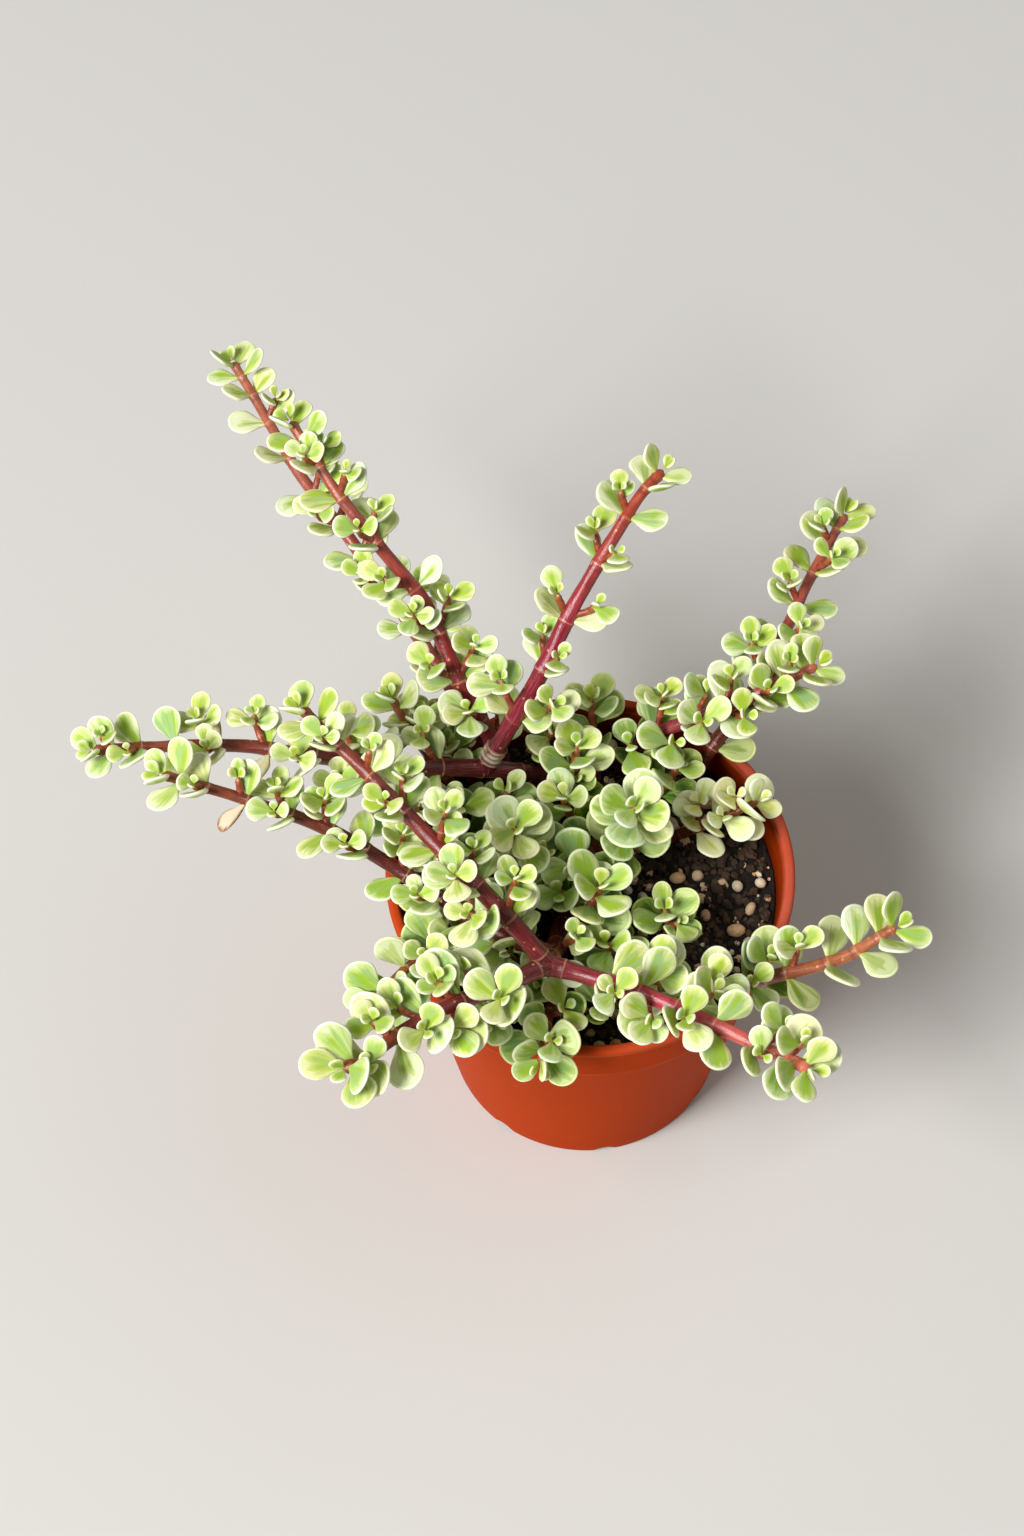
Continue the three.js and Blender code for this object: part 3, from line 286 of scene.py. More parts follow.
def square(v, axis):
    """The part of a direction that is square to an axis."""
    return v - axis * float(v @ axis)


def turned(v, axis, angle):
    c, s = math.cos(angle), math.sin(angle)
    return v * c + np.cross(axis, v) * s + axis * (float(axis @ v) * (1 - c))


def side_along(previous, forward):
    """The side of the next sample: near the previous one's, but drawn towards level."""
    level = np.cross(forward, UP)
    if level @ previous < 0:
        level = -level
    return unit(square(previous + 0.5 * level, forward))


def curve_point(points, share):
    """A point on the smooth curve through some points."""
    last = len(points) - 1
    at = last * share
    i = int(math.floor(at))
    w = at - i
    if w == 0 and i == last:
        i, w = last - 1, 1.0
    p1, p2 = points[i], points[i + 1]
    p0 = points[i - 1] if i > 0 else 2 * p1 - p2
    p3 = points[i + 2] if i + 2 <= last else 2 * p2 - p1
    t0, t1 = 0.5 * (p2 - p0), 0.5 * (p3 - p1)
    c2 = -3 * p1 + 3 * p2 - 2 * t0 - t1
    c3 = 2 * p1 - 2 * p2 + t0 + t1
    return p1 + t0 * w + c2 * w * w + c3 * w * w * w


class Path:
    """Samples along a smooth curve, each with its distance and directions."""

    def __init__(self, points, skip, side):
        points = [np.array(p, float) for p in points]
        spans = len(points) - 1
        fine = [curve_point(points, i / FINE_SAMPLES) for i in range(FINE_SAMPLES + 1)]
        length = sum(float(np.linalg.norm(b - a)) for a, b in zip(fine, fine[1:]))
        steps = math.ceil(length / SAMPLE_STEP / spans)
        places = [curve_point(points, i / (spans * steps)) for i in range(skip * steps, spans * steps + 1)]
        samples, run = [], 0.0
        for before, place, after in zip([places[0], *places], places, [*places[1:], places[-1]]):
            run += float(np.linalg.norm(place - before))
            forward = unit(after - before)
            side = side_along(side, forward)
            samples.append((place, forward, side, run))
        self.centre, self.forward, self.side, self.distance = zip(*samples)
        self.length = run

    def at(self, distance):
        b = max(next((i for i, d in enumerate(self.distance) if d >= distance), 1), 1)
        a = b - 1
        share = (distance - self.distance[a]) / (self.distance[b] - self.distance[a])
        centre, forward, side = (mix(row[a], row[b], share) for row in (self.centre, self.forward, self.side))
        return centre, unit(forward), unit(side)


class Stem:
    """A rooted stem, one of its branches, or a side shoot that has a parent."""

    made = 0
    parent = None
    ends = True
    short = False
    knob = False
    foot = None
    clear = 0.6

    def __init__(self):
        Stem.made += 1
        self.number = Stem.made

    def radius(self, distance):
        return mix(self.radii[0], self.radii[1], min(distance / self.path.length, 1) ** TAPER)


def main_stem(plant, index, form):
    stem = Stem()
    stem.__dict__.update(form)
    stem.plant, stem.keys = plant, (plant, index)
    turn = 2 * math.pi * draw(plant, index, 1)
    side = np.array([math.cos(turn), math.sin(turn), 0.0])
    stem.path = Path(form["route"], 1 if index == 0 else 0, side)
    stem.table = SHORT_PAIRS if stem.short else LONG_PAIRS
    stem.internode = form.get("internode", SHORT_INTERNODE)
    if index == 0:
        stem.foot = [np.array(p, float) for p in form["route"][:2]]
    return stem


def side_shoot(parent, pair, second):
    keys = (*parent.keys, pair.index, second, 7)
    age = (pair.index - SIDE.youngest) / (SIDE.oldest - SIDE.youngest)
    reach = mix(SIDE.young, SIDE.old, min(age, 1)) * mix(*SIDE.spread, draw(*keys, 1))
    centre, forward, side = parent.path.at(pair.distance)
    out = turned(side, forward, pair.turn + second * math.pi)
    thick = parent.radius(pair.distance)
    start = unit(forward * SIDE.forward + out * SIDE.out + UP * SIDE.lift)
    upright = unit(start + UP * SIDE.upright)
    centre = centre + forward * SIDE.above
    middle = centre + start * (thick + reach / 2)
    end = middle + upright * (reach / 2)
    shoot = Stem()
    shoot.plant, shoot.keys, shoot.parent = parent.plant, keys, parent
    shoot.path = Path([centre, middle, end], 0, np.cross(out, forward))
    shoot.radii = (SIDE.thick, SIDE.thin)
    shoot.bare = thick + SIDE.bare
    shoot.leaf = parent.leaf * mix(*SIDE.leaf, draw(*keys, 2))
    shoot.internode = mix(*SIDE.internode, draw(*keys, 3))
    shoot.table = SIDE_PAIRS
    return shoot


def pairs_on(stem):
    pairs = []
    back = 0 if stem.ends else stem.internode / 2
    index = 0 if stem.ends else OLDER_PAIR
    while stem.path.length - back > stem.bare:
        keys = (*stem.keys, index)
        wobble = PAIR_SPREAD.turn * (draw(*keys, 2) - 0.5)
        opened = PAIR_SPREAD.open * (draw(*keys, 3) - 0.5)
        grown = mix(*PAIR_SPREAD.size, draw(*keys, 4))
        pairs.append(Facts(
            index=index,
            distance=stem.path.length - back,
            turn=math.radians(listed(stem.table.turn, index) * (1 if index % 2 else -1) + wobble),
            open=listed(stem.table.open, index) + opened,
            size=stem.leaf * listed(stem.table.size, index) * grown,
        ))
        stretch = mix(*PAIR_SPREAD.gap, draw(*keys, 5))
        back += stem.internode * listed(stem.table.gap, index) * stretch
        index += 1
    return pairs


def outline_half(share):
    """Half the blade's width at a share of its length, as a share of its greatest half width."""
    within = np.clip(share, 0, 1)
    past = np.clip((within - WIDEST) / (1 - WIDEST), 0, 1)
    rising = np.sin(np.clip(np.pi / 2 * within / WIDEST, 0, np.pi / 2)) ** WAIST
    return np.where(within > WIDEST, np.sqrt(1 - past * past), mix(BASE_WIDTH, 1, rising))


def leaf_at(stem, pair, second, trial):
    keys = (*stem.keys, pair.index, second)
    centre, forward, side = stem.path.at(pair.distance)
    turn = pair.turn + second * math.pi + math.radians(trial[0])
    opened = math.radians(pair.open + trial[1])
    out = turned(side, forward, turn)
    along = forward * math.cos(opened) + out * math.sin(opened)
    along = unit(along * np.array([1, 1, FLAT]) + UP * LIFT)
    face = forward * math.sin(opened) - out * math.cos(opened) + np.array(LIGHT) * FACE_LIGHT
    face = unit(square(face, along))
    length = pair.size * trial[2]
    leaf = Facts(
        stem=stem, pair=pair.index, keys=keys,
        foot=centre + along * (SUNK * stem.radius(pair.distance)),
        along=along, face=face, across=np.cross(face, along), length=length,
        half=length * (WIDTH_LEAST + WIDTH_SPREAD * draw(*keys, 5)) / 2,
        thick=THICK_BASE + THICK_SHARE * length,
        curl=CURL_LEAST + CURL_SPREAD * draw(*keys, 6),
    )
    leaf.middle = on_leaf(leaf, 0.55, 0)
    return leaf


def on_leaf(leaf, share, across):
    rise = leaf.curl * leaf.length * share * share
    return (leaf.foot + leaf.along * (leaf.length * share) + leaf.across * across
            + leaf.face * rise)


# The spots on a blade that are tested for room, as shares of its length and of its half width.
SPOT_SHARES = np.array([0.3, 0.5, 0.7, 0.88, 1.0])
SPOT_HALVES = outline_half(SPOT_SHARES)
SPOT_PARTS = (-0.85, 0, 0.85)


def spots_on(leaf):
    return np.array([
        on_leaf(leaf, share, part * leaf.half * h)
        for share, h in zip(SPOT_SHARES, SPOT_HALVES) for part in SPOT_PARTS
    ])


class Store:
    """Growing arrays of the leaves' facts, or of the knots' places, for quick tests."""

    def __init__(self, **shapes):
        self.count = 0
        self.data = {k: np.zeros((MOST_PLACES, *shape)) for k, shape in shapes.items()}

    def add(self, **values):
        for k, v in values.items():
            self.data[k][self.count] = v
        self.count += 1

    def __getitem__(self, key):
        return self.data[key][:self.count]


# What is stored of every blade, with its shape.
BLADE = dict(foot=(3,), along=(3,), across=(3,), face=(3,), length=(), half=(), thick=(), curl=())
leaves = []
book = Store(**BLADE, middle=(3,), stem=(), pair=(), spots=(len(SPOT_SHARES) * len(SPOT_PARTS), 3))
knots = Store(centre=(3,), radius=(), stem=())


def inside(blade, spots, room):
    """Whether spots lie within a blade and its room. The facts of several blades broadcast."""
    foot, along, across, face, length, half, thick, curl = blade
    offset = spots - foot
    run = (offset * along).sum(-1)
    share = run / length
    near = (run >= -EDGE_ROOM) & (run <= length + EDGE_ROOM)
    near &= np.abs((offset * across).sum(-1)) <= half * outline_half(share) + EDGE_ROOM
    return near & (np.abs((offset * face).sum(-1) - curl * length * share * share) < thick / 2 + room)


def meets_leaves(leaf, spots):
    gap = np.linalg.norm(book["middle"] - leaf.middle, axis=1)
    near = gap <= NEAR_SHARE * (leaf.length + book["length"])
    same = book["stem"] == leaf.stem.number
    apart = np.where(same, np.abs(book["pair"] - leaf.pair), 2)
    pick = np.nonzero(near & (apart > 0))[0]
    if not len(pick):
        return False
    room = np.where(apart[pick] == 1, SISTER_ROOM, FACE_ROOM)
    others = [book[k][pick][:, None] for k in BLADE]
    if inside(others, spots[None], (room + leaf.thick / 2)[:, None]).any():
        return True
    own = [getattr(leaf, k) for k in BLADE]
    return bool(inside(own, book["spots"][pick], (room + book["thick"][pick] / 2)[:, None]).any())


def clear_of_pot(spots):
    radius = np.hypot(spots[..., 0], spots[..., 1])
    within = radius < POT.lip_inner_radius - INNER_LIP_ROOM
    low = spots[..., 2] > SOIL_TOP + SOIL_ROOM
    high = (radius > POT.lip_radius + OUTER_LIP_ROOM) | (spots[..., 2] > POT.height + SOIL_ROOM)
    return bool(np.where(within, low, high).all())


def hits_stem(spots, room, own):
    others = knots["stem"] != own
    gap = np.linalg.norm(spots[:, None] - knots["centre"][None], axis=2)
    return bool(((gap < knots["radius"] + room) & others).any())


def grow_leaves(stem):
    before = len(leaves)
    for pair in stem.pairs:
        for second in (0, 1):
            for trial in TRIALS:
                leaf = leaf_at(stem, pair, second, trial)
                spots = spots_on(leaf)
                if not clear_of_pot(spots) or meets_leaves(leaf, spots):
                    continue
                if hits_stem(spots, leaf.thick / 2 + FACE_ROOM, stem.number):
                    continue
                leaves.append(leaf)
                facts = {k: getattr(leaf, k) for k in (*BLADE, "middle", "pair")}
                book.add(**facts, stem=stem.number, spots=spots)
                break
    return len(leaves) - before


def add_knots(stem):
    """Stores the places along a stem, and above a long one, that other leaves keep clear of."""
    long = stem.parent is None and not stem.short
    for centre, forward, distance in zip(stem.path.centre, stem.path.forward, stem.path.distance):
        radius = stem.radius(distance)
        knots.add(centre=centre, radius=radius, stem=stem.number)
        kept = draw(*stem.keys, int(distance / CLEAR_STRETCH), 61) < stem.clear
        if long and kept and distance < stem.path.length - LEAFY_TIP:
            above = unit(square(UP, forward)) * CLEAR_ABOVE
            knots.add(centre=centre + above, radius=radius, stem=stem.number)


def grow_shoot(parent, pair, second):
    """Grows a side shoot with its leaves, or nothing where it has too little room."""
    shoot = side_shoot(parent, pair, second)
    outer = [c for c, d in zip(shoot.path.centre, shoot.path.distance) if d > shoot.bare + 1]
    if outer:
        outer = np.array(outer)
        if not clear_of_pot(outer) or hits_stem(outer, SHOOT_STEM_ROOM, parent.number):
            return None
        if inside([book[k][:, None] for k in BLADE], outer[None], SHOOT_ROOM).any():
            return None
    shoot.pairs = pairs_on(shoot)
    grown = grow_leaves(shoot)
    if grown >= SIDE.least_leaves:
        add_knots(shoot)
        return shoot
    if grown:
        del leaves[-grown:]
        book.count -= grown
    return None


mains = [main_stem(plant, index, form)
         for plant, routes in enumerate(PLANTS.values()) for index, form in enumerate(routes)]
for stem in mains:
    add_knots(stem)
for stem in mains:
    stem.pairs = pairs_on(stem)
    grow_leaves(stem)
shoots = []
for stem in mains:
    youngest = SIDE.youngest_short if stem.short else SIDE.youngest
    for pair in stem.pairs:
        for second in (0, 1):
            chance = stem.shoots * (1 if pair.index > youngest else SIDE.youngest_chance)
            if pair.index < youngest or draw(*stem.keys, pair.index, second, 9) > chance:
                continue
            shoot = grow_shoot(stem, pair, second)
            if shoot:
                shoots.append(shoot)


# ---------------- meshes


def mesh_object(name, points, faces, values=None, smooth=True):
    """One mesh, with points in millimetres and vector values for its material."""
    mesh = bpy.data.meshes.new(name)
    mesh.from_pydata(np.asarray(points, float) * MM, [], faces)
    mesh.polygons.foreach_set("use_smooth", np.full(len(mesh.polygons), smooth))
    for key, value in (values or {}).items():
        layer = mesh.attributes.new(key, "FLOAT_VECTOR", "POINT")
        layer.data.foreach_set("vector", np.asarray(value, np.float32).ravel())
    mesh.update()
    piece = bpy.data.objects.new(name, mesh)
    bpy.context.scene.collection.objects.link(piece)
    return piece


def joined(name, parts, *keys, smooth=True):
    """One mesh of many parts. Each has its points, its faces and, for every key, values of its points."""
    points, faces, *values = zip(*parts)
    sides, start = [], 0
    for own_points, own_faces in zip(points, faces):
        sides += [tuple(i + start for i in face) for face in own_faces]
        start += len(own_points)
    values = {key: np.concatenate(own) for key, own in zip(keys, values)}
    return mesh_object(name, np.concatenate(points), sides, values, smooth)


def dressed(piece, material, slot, *nodes):
    """Gives a piece its material, puts it on the root body and hides the parts it stands in for."""
    piece.data.materials.append(material)
    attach(piece, "root")
    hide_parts(*nodes)


def flat_ended(rings, sides, start=0):
    """The faces of a tube of rings, each with as many points as it has sides, and of its flat ends."""
    last = start + (rings - 1) * sides
    faces = [tuple(range(start + sides - 1, start - 1, -1)), tuple(range(last, last + sides))]
    for ring in range(start, last, sides):
        for k in range(sides):
            a, b = ring + k, ring + (k + 1) % sides
            faces.append((a, b, b + sides, a + sides))
    return faces


def pointed(rings, sides, foot, tip, start=0):
    """The faces of such a tube that closes to a point at its foot and at its tip instead."""
    last = start + (rings - 1) * sides
    faces = []
    for k in range(sides):
        after = (k + 1) % sides
        faces.append((foot, start + after, start + k))
        for ring in range(start, last, sides):
            faces.append((ring + k, ring + after, ring + sides + after, ring + sides + k))
        faces.append((last + k, last + after, tip))
    return faces


def circle(radius, count):
    turns = (2 * math.pi * k / count for k in range(count))
    return [(radius * math.cos(turn), radius * math.sin(turn)) for turn in turns]


# Rings along a leaf: up to its widest place, then round its end.
LEAF_SIDES = 16
LOW_RINGS = WIDEST * np.array([0, 0.1, 0.22, 0.38, 0.56, 0.78, 1])
END_ANGLES = np.radians([15, 30, 45, 58, 70, 80, 87])
LEAF_RINGS = np.concatenate([LOW_RINGS, WIDEST + (1 - WIDEST) * np.sin(END_ANGLES)])
RING_ROUND = np.concatenate([np.ones(len(LOW_RINGS)), np.cos(END_ANGLES)])
LEAF_GRID = len(LEAF_RINGS) * LEAF_SIDES
LEAF_FACES = pointed(len(LEAF_RINGS), LEAF_SIDES, LEAF_GRID, LEAF_GRID + 1)

# The fine form of a leaf, as shares of its half width, its thickness or its length.
FORM = Facts(
    narrowed=0.4, uneven=0.05, blunt=(0.85, 0.9), plump=(0.75, 0.4), round_end=0.55, full=0.9,
    channel=0.16, channel_width=0.3, channel_below=0.4, cup=(-0.02, 0.16), dry_cup=0.5, cup_sunk=0.25,
    wave=0.05, roll=math.radians(10), lean=0.035, foot=0.25, widens=0.25,
)
# Leaves are painted in deeper shade low down and near the middle, and fresher in the youngest pairs.
SHADE_LEVEL, SHADE_HEIGHT, SHADE_RADIUS, YOUNG_PAIRS = 98, 28, 62, 2.5


def leaf_mesh(leaf, name):
    """One plump leaf: its points and faces, and its points' places on the blade, kinds and states."""
    keys = leaf.keys
    s = LEAF_RINGS[:, None]
    angle = 2 * np.pi * np.arange(LEAF_SIDES) / LEAF_SIDES
    c, z = np.cos(angle), np.sin(angle)
    arched = np.sin(np.pi * np.minimum(s, 1))
    dry = WITHERED.get(keys, 0)
    half = leaf.half * (1 - FORM.narrowed * dry)
    lean = 2 * draw(*keys, 21) - 1
    wide = half * outline_half(s) * (1 + FORM.uneven * np.sin(9 * s + 6 * draw(*keys, 22)) * s)
    across = np.sign(c) * np.abs(c) ** FORM.blunt[0] * wide
    least, more = FORM.plump
    plump = leaf.thick / 2 * (least + more * np.sin(np.pi * np.minimum(s, FORM.full)))
    plump = plump * RING_ROUND[:, None] ** FORM.round_end
    above = np.sign(z) * np.abs(z) ** FORM.blunt[1] * plump
    spread = across / half
    channel = FORM.channel * leaf.thick * np.exp(-((spread / FORM.channel_width) ** 2)) * arched
    above = above - np.where(z > 0, channel, FORM.channel_below * channel)
    cup = (mix(*FORM.cup, draw(*keys, 23)) + FORM.dry_cup * dry) * half
    above = above + cup * spread ** 2 - FORM.cup_sunk * cup
    above = above + FORM.wave * half * np.sin(5 * s + 7 * draw(*keys, 24)) * spread
    roll = FORM.roll * (2 * draw(*keys, 25) - 1) * s
    turned_in = across * np.cos(roll) - above * np.sin(roll)
    above = across * np.sin(roll) + above * np.cos(roll)
    across = turned_in + FORM.lean * leaf.length * lean * arched
    above = above + leaf.curl * leaf.length * s * s
    run = leaf.length * s + 0 * across
    past = np.clip((s - WIDEST) / (1 - WIDEST), 0, 1)
    edge = np.where(s > WIDEST, np.sqrt((np.abs(c) * RING_ROUND[:, None]) ** 2 + past ** 2),
                    np.abs(c) * np.clip(s / FORM.widens, 0, 1) ** 0.5)
    place = np.stack([edge, s + 0 * edge, spread], -1).reshape(-1, 3)
    under = (0.5 - 0.5 * z + 0 * edge).reshape(-1)
    grid = np.stack([run, across, above], -1).reshape(-1, 3)
    foot = (-FORM.foot * half, 0, 0)
    tip = (leaf.length * 1.0005, float(across[-1].mean()), float(above[-1].mean()))
    grid = np.concatenate([grid, [foot, tip]])
    place = np.concatenate([place, [[0, 0, 0], [1, 1, 0]]])
    under = np.concatenate([under, [0.5, 0.5]])
    axes = np.stack([leaf.along, leaf.across, leaf.face])
    kind, young = leaf_kind(leaf, name)
    kinds = np.tile(kind, (len(grid), 1))
    states = np.stack([under, under * 0 + young, under * 0 + dry], -1)
    return leaf.foot + grid @ axes, LEAF_FACES, place, kinds, states


def leaf_kind(leaf, name):
    """A leaf's colours as three numbers, its own draw, how shaded and how cream, and how young it is."""
    own = draw(*leaf.keys, 31)
    # How much painted shade a leaf gets: more low down and near the middle.
    deep = 1 - np.clip((leaf.middle[2] - SHADE_LEVEL) / SHADE_HEIGHT, 0, 1)
    inner = 1 - np.clip(math.hypot(leaf.middle[0], leaf.middle[1]) / SHADE_RADIUS, 0, 1)
    shade = np.clip(deep + 0.25 * inner + 0.3 * (draw(*leaf.keys, 34) - 0.5), 0, 1)
    young = 1 - np.clip(leaf.pair / YOUNG_PAIRS, 0, 1)
    shade = np.clip(shade - 0.25 * young, 0, 1)
    cream = mix(0.1, 0.9, draw(*leaf.keys, 32))
    if name == "shoot_cream":
        cream, shade = mix(1.25, 1.6, draw(*leaf.keys, 33)), 0.0
    return (own, float(shade), cream), young


# A stem's mesh, then how wide and how high its scars, their lower edges, its swollen nodes, its fork
# and its crown at the soil are, and the place and the form of the scaly knob.
STEM_SIDES, STEM_STEP, FOOT_STEPS = 18, 0.6, 8
SCAR, SCAR_EDGE, SWELLING = (0.55, 0.16), (1.1, 0.5, 0.05), (2.4, 0.07)
FORK_SWELL, CROWN_SWELL = (4, 0.5), (4, 0.16)
KNOB_PLACE, KNOB_REACH, KNOB_RIDGES, KNOB_HEIGHT = 7, 3.2, 3.4, (0.3, 0.42)


def bell(gap, width):
    return np.exp(-((gap / width) ** 2))


def knob_on(distances):
    """How far the scaly knob above a stem's fork reaches along it."""
    return np.exp(-((np.abs(distances - KNOB_PLACE) / KNOB_REACH) ** 4))


def bark_along(stem, distances):
    """The bark's linear colour along a stem, between its three colours."""
    if stem.parent is not None:
        hues = SIDE_BARK
    else:
        routes = BARK.get(list(PLANTS)[stem.plant])
        hues = routes[stem.keys[1]] if routes else SHORT_BARK
    share = np.clip(distances / stem.path.length, 0, 1)
    linear = np.array([rgb(*hue)[:3] for hue in hues]) * BARK_CAST
    return np.stack([np.interp(share, (0, 0.5, 1), linear[:, k]) for k in range(3)], -1)


def stem_radii(stem, distances, nodes):
    """The radii along a stem that thickens at its nodes, with scars where old leaves stood."""
    gap = distances[:, None] - nodes
    radii = np.array([stem.radius(d) for d in distances])
    scar = bell(gap, SCAR[0]).sum(1) * SCAR[1]
    scar = scar - bell(gap + SCAR_EDGE[0], SCAR_EDGE[1]).sum(1) * SCAR_EDGE[2]
    swell = bell(gap, SWELLING[0]).sum(1) * SWELLING[1]
    radii = radii * (0.95 + swell) + scar * (0.4 + 0.25 * radii)
    if stem.parent is None and not stem.foot:
        radii = radii + FORK_SWELL[1] * bell(distances, FORK_SWELL[0])
    if stem.knob:
        least, ridged = KNOB_HEIGHT
        radii = radii + knob_on(distances) * (least + ridged * np.sin(KNOB_RIDGES * distances))
    tip = np.clip((stem.path.length - distances) / 1.2, 0, 1)
    return radii * np.where(stem.ends, np.sqrt(np.clip(tip, 0.02, 1)), 1)


def stem_mesh(stem):
    """One stem: its points and faces, and its points' places on it, bark colours and states."""
    path = stem.path
    distances = np.linspace(0, path.length, max(int(path.length / STEM_STEP), 4))
    spots = [path.at(max(d, 1e-6)) for d in distances]
    centres, forwards, sides = (np.array(row) for row in zip(*spots))
    sides = sides - forwards * (sides * forwards).sum(1, keepdims=True)
    sides /= np.linalg.norm(sides, axis=1, keepdims=True)
    nodes = np.array([pair.distance for pair in stem.pairs])
    if stem.parent is None:
        older = stem.bare - np.arange(0.3, 12) * stem.internode
        nodes = np.concatenate([nodes, older[older > 3]])
    angle = 2 * np.pi * np.arange(STEM_SIDES) / STEM_SIDES
    wobble = 1 + 0.035 * np.sin(3 * angle + distances[:, None] * 0.35 + 7 * draw(*stem.keys, 51))
    wobble = wobble + 0.02 * np.sin(2 * angle - distances[:, None] * 0.22)
    radii = stem_radii(stem, distances, nodes)[:, None] * wobble
    if stem.foot:
        low, top = stem.foot
        run = np.linspace(0, 1, FOOT_STEPS, endpoint=False)[:, None]
        forward = unit(top - low)
        side = square(sides[0], forward)
        centres = np.vstack([low + (top - low) * run, centres])
        forwards = np.vstack([[forward] * FOOT_STEPS, forwards])
        sides = np.vstack([[side / np.linalg.norm(side)] * FOOT_STEPS, sides])
        radii = np.vstack([np.full((FOOT_STEPS, STEM_SIDES), stem.radii[0] * 0.97), radii])
        crown = bell(centres[:, 2] - SOIL_TOP, CROWN_SWELL[0])
        radii = radii * (1 + CROWN_SWELL[1] * crown)[:, None]
        distances = np.concatenate([np.linspace(-20, -1, FOOT_STEPS), distances])
    rounds = np.stack([np.cos(angle), np.sin(angle)], -1)
    others = np.cross(forwards, sides)
    ring = sides[:, None] * rounds[:, :1] + others[:, None] * rounds[:, 1:]
    points = (centres[:, None] + ring * radii[..., None]).reshape(-1, 3)
    gap = distances[:, None] - nodes
    ringed = bell(gap, 0.5).sum(1) - 0.8 * bell(gap + 1.6, 0.9).sum(1)
    crust = knob_on(distances) * stem.knob * (0.6 + 0.4 * np.sin(KNOB_RIDGES * distances))
    states = np.stack([np.clip(ringed, -1, 1), crust, crust * 0 + draw(*stem.keys, 52)], -1)
    place = np.concatenate([np.tile(rounds, (len(distances), 1)),
                            np.repeat(distances / 50, STEM_SIDES)[:, None]], -1)
    barks = np.repeat(bark_along(stem, distances), STEM_SIDES, 0)
    faces = flat_ended(len(distances), STEM_SIDES)
    return points, faces, place, barks, np.repeat(states, STEM_SIDES, 0)


# ---------------- pot and soil

POT_SIDES = 160
# The roundings of the pot's edges, and the sides of a notch's arch.
ROUND = Facts(foot=1.2, collar=0.45, under_lip=0.9, lip=1.4, inner_lip=1.3)
ARCH_STEPS = 14


def lathe(profile, sides):
    """A closed solid of revolution; the profile starts and ends on the axis."""
    points = [(0, 0, profile[0][1])]
    for radius, level in profile[1:-1]:
        points += [(x, y, level) for x, y in circle(radius, sides)]
    points.append((0, 0, profile[-1][1]))
    return points, pointed(len(profile) - 2, sides, 0, len(points) - 1, 1)


def arc(x, y, radius, start, end, count):
    turn = np.radians(np.linspace(start, end, count))
    return [(x + radius * math.cos(t), y + radius * math.sin(t)) for t in turn]


def line(start, end, steps, first=0):
    """Points from a start to an end."""
    return [(mix(start[0], end[0], i / steps), mix(start[1], end[1], i / steps))
            for i in range(first, steps + 1)]


def pot_profile():
    p, r = POT, ROUND
    under, top, collar = p.height - p.lip_height, p.height, p.collar_top_radius
    outer = [(0, 0.0), (20, 0.0), (p.base_radius - 3, 0.0)]
    outer += arc(p.base_radius - r.foot, r.foot, r.foot, -90, -8, 7)
    outer += line((p.base_radius, r.foot), (p.body_top_radius, p.body_top), 14, 1)
    outer += arc(p.collar_radius - r.collar, p.collar_bottom + 0.4, r.collar, -80, 0, 5)
    outer += line((p.collar_radius, p.collar_bottom + 0.5), (collar - 0.05, under - 0.5), 6, 1)
    outer += [(collar + 0.15, under - 0.08), (collar + 0.6, under)]
    outer += arc(p.lip_radius - r.under_lip, under + r.under_lip, r.under_lip, -90, 0, 7)
    outer += arc(p.lip_radius - r.lip, top - r.lip, r.lip, 0, 90, 9)
    outer += arc(p.lip_inner_radius + r.inner_lip, top - r.inner_lip, r.inner_lip, 90, 180, 8)
    inner = [(p.lip_inner_radius - 0.1, top - 2.4)]
    shoulder = (p.body_top_radius - p.wall, p.body_top - p.edge)
    inner += line((collar - p.wall, top - 3.4), shoulder, 6)
    inside_base = p.base_radius - p.wall
    return outer + inner + [(inside_base, p.floor + 1), (inside_base - 1, p.floor), (0, p.floor)]


def notch_cutter():
    """Arched bars through the wall, one for each drain notch."""
    half, height = NOTCH.half_width, NOTCH.height
    arch = [(-half, -1.0), (half, -1.0)]
    for t in (k / ARCH_STEPS for k in range(ARCH_STEPS + 1)):
        arch.append((half * ((1 - t) ** 2 - t ** 2), 4 * height * t * (1 - t)))
    corners, faces = [], []
    for i in range(NOTCH.count):
        turn = 2 * math.pi * (i + 0.5) / NOTCH.count + NOTCH.turn
        faces += flat_ended(2, len(arch), len(corners))
        for deep in (POT.base_radius + 2, POT.base_radius - NOTCH.depth):
            corners += [(x * math.cos(turn) - deep * math.sin(turn),
                         x * math.sin(turn) + deep * math.cos(turn), z) for x, z in arch]
    return mesh_object("notch_cutter", corners, faces, smooth=False)


def pot_object(material):
    pot = mesh_object("pot_shell", *lathe(pot_profile(), POT_SIDES))
    cutter = notch_cutter()
    cut = pot.modifiers.new("notches", "BOOLEAN")
    cut.operation, cut.solver, cut.object = "DIFFERENCE", "EXACT", cutter
    bpy.context.view_layer.update()
    shaped = bpy.data.meshes.new_from_object(pot.evaluated_get(bpy.context.evaluated_depsgraph_get()))
    pot.modifiers.clear()
    pot.data = shaped
    bpy.data.objects.remove(cutter, do_unlink=True)
    pot.data.set_sharp_from_angle(angle=math.radians(35))
    pot.data.materials.clear()
    dressed(pot, material, "pot", "pot")


